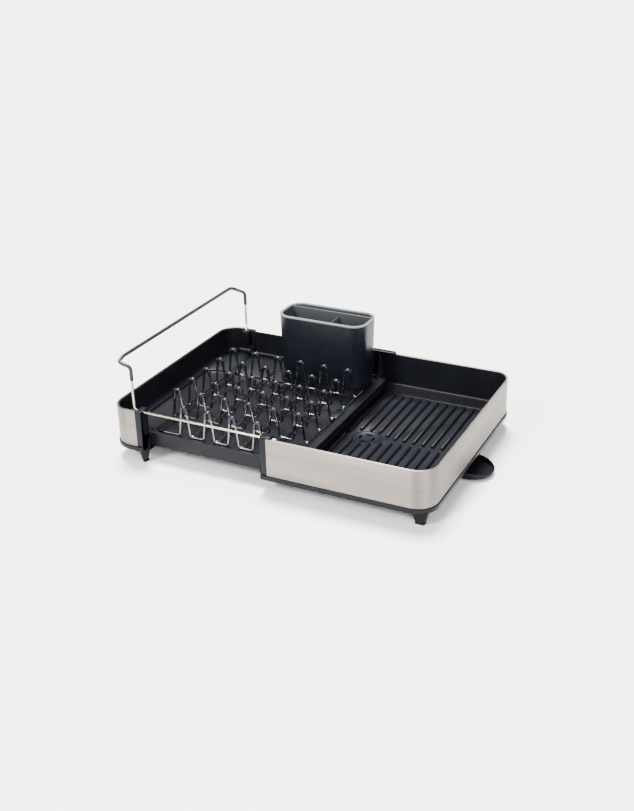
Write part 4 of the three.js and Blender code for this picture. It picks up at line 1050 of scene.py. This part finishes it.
def studio_floor():
    """Seamless white studio paper, very slightly uneven in tone."""
    material, tree = new_material("Seamless studio paper")
    where = add(tree, "ShaderNodeTexCoord").outputs["Object"]
    cloud = add(tree, "ShaderNodeTexNoise", {"Vector": where, "Scale": 0.8, "Detail": 1.0})
    tone = blended(tree, cloud.outputs["Fac"], "#eeeeee", "#f0f0f0")
    finish_with(tree, {"Base Color": tone, "Roughness": 0.9, "Specular IOR Level": 0.0})
    floor = plane("studio_floor", 60, (0, 0, 0))
    floor.data.materials.append(material)


def studio_sky():
    """Dim room with tall softboxes round it and a bright ceiling, so that gloss shows shape."""
    world = bpy.data.worlds.new("studio")
    world.use_nodes = True
    tree = world.node_tree
    where = add(tree, "ShaderNodeTexCoord").outputs["Generated"]
    axes = add(tree, "ShaderNodeSeparateXYZ", {0: where})
    lift = add(tree, "ShaderNodeMapRange", {"Value": axes.outputs["Z"], "From Min": 0.55, "From Max": 0.95,
                                            "To Min": 0.0, "To Max": CEILING})
    turn = add(tree, "ShaderNodeMath", {0: axes.outputs["Y"], 1: axes.outputs["X"]}, operation="ARCTAN2")
    share = add(tree, "ShaderNodeMapRange", {"Value": turn.outputs[0], "From Min": -math.pi,
                                             "From Max": math.pi})
    walls = add(tree, "ShaderNodeValToRGB", {"Fac": share.outputs[0]})
    ramp = walls.color_ramp.elements
    for angle, strength in WALLS[1:-1]:
        ramp.new((angle + 180) / 360)
    for element, (angle, strength) in zip(ramp, WALLS):
        element.position = (angle + 180) / 360
        level = strength / WALL_LIGHT
        element.color = (level, level, level, 1)
    low = add(tree, "ShaderNodeMapRange", {"Value": axes.outputs["Z"], "From Min": 0.5, "From Max": 0.75,
                                           "To Min": WALL_LIGHT, "To Max": 0.0})
    sides = add(tree, "ShaderNodeMath", {0: walls.outputs["Color"], 1: low.outputs[0]}, operation="MULTIPLY")
    both = add(tree, "ShaderNodeMath", {0: lift.outputs[0], 1: sides.outputs[0]}, operation="ADD")
    sky = tree.nodes["Background"]
    sky.inputs["Color"].default_value = colour("#f6f5f4")
    tree.links.new(both.outputs[0], sky.inputs["Strength"])
    bpy.context.scene.world = world


def soft_sun(name, power, width, tilt_from_x, tilt_from_y):
    """A distant softbox: even light over the whole floor, with soft shadows."""
    light = bpy.data.lights.new(name, "SUN")
    light.energy = power
    light.angle = math.radians(width)
    made = bpy.data.objects.new(name, light)
    made.rotation_euler = Vector((-tilt_from_x, -tilt_from_y, -1)).to_track_quat("-Z", "Y").to_euler()
    bpy.context.scene.collection.objects.link(made)


CEILING, WALL_LIGHT = 0.8, 6.0
# Brightness round the room: (direction in degrees, strength)
WALLS = [(-180, 0.3), (-142, 0.5), (-128, 2.4), (-119, 6.4), (-109, 5.6), (-94, 1.2), (-70, 0.5), (-50, 7.0),
         (-28, 7.0), (-10, 0.3), (30, 0.1), (66, 0.1), (76, 1.2), (95, 0.3), (180, 0.3)]
studio_floor()
studio_sky()
soft_sun("overhead_softbox", power=15.2, width=22, tilt_from_x=-0.22, tilt_from_y=0.34)
soft_sun("front_softbox", power=4.0, width=14, tilt_from_x=-0.53, tilt_from_y=-1.08)
soft_sun("side_softbox", power=1.4, width=8, tilt_from_x=1.15, tilt_from_y=-0.42)

# ---------------------------------------------------------------- camera
YAW, PITCH, ROLL = math.radians(26.38), math.radians(25.67), math.radians(-1.19)
forward = Vector((-math.sin(YAW) * math.cos(PITCH), math.cos(YAW) * math.cos(PITCH), -math.sin(PITCH)))
level = Vector((math.cos(YAW), math.sin(YAW), 0))
upward = level.cross(forward)
across = math.cos(ROLL) * level + math.sin(ROLL) * upward
upright = -math.sin(ROLL) * level + math.cos(ROLL) * upward
lens = bpy.data.cameras.new("studio_camera")
lens.sensor_width = 36.0
lens.lens = 50.25
lens.shift_x, lens.shift_y = -0.0089, -0.0080
camera = bpy.data.objects.new("studio_camera", lens)
camera.matrix_world = Matrix.Translation(((END_FACE + 463) * MM, -1.437, 0.845)) @ Matrix((
    (across.x, upright.x, -forward.x, 0), (across.y, upright.y, -forward.y, 0),
    (across.z, upright.z, -forward.z, 0), (0, 0, 0, 1)))
lens.clip_start, lens.clip_end = 0.05, 100
bpy.context.scene.collection.objects.link(camera)
bpy.context.scene.camera = camera
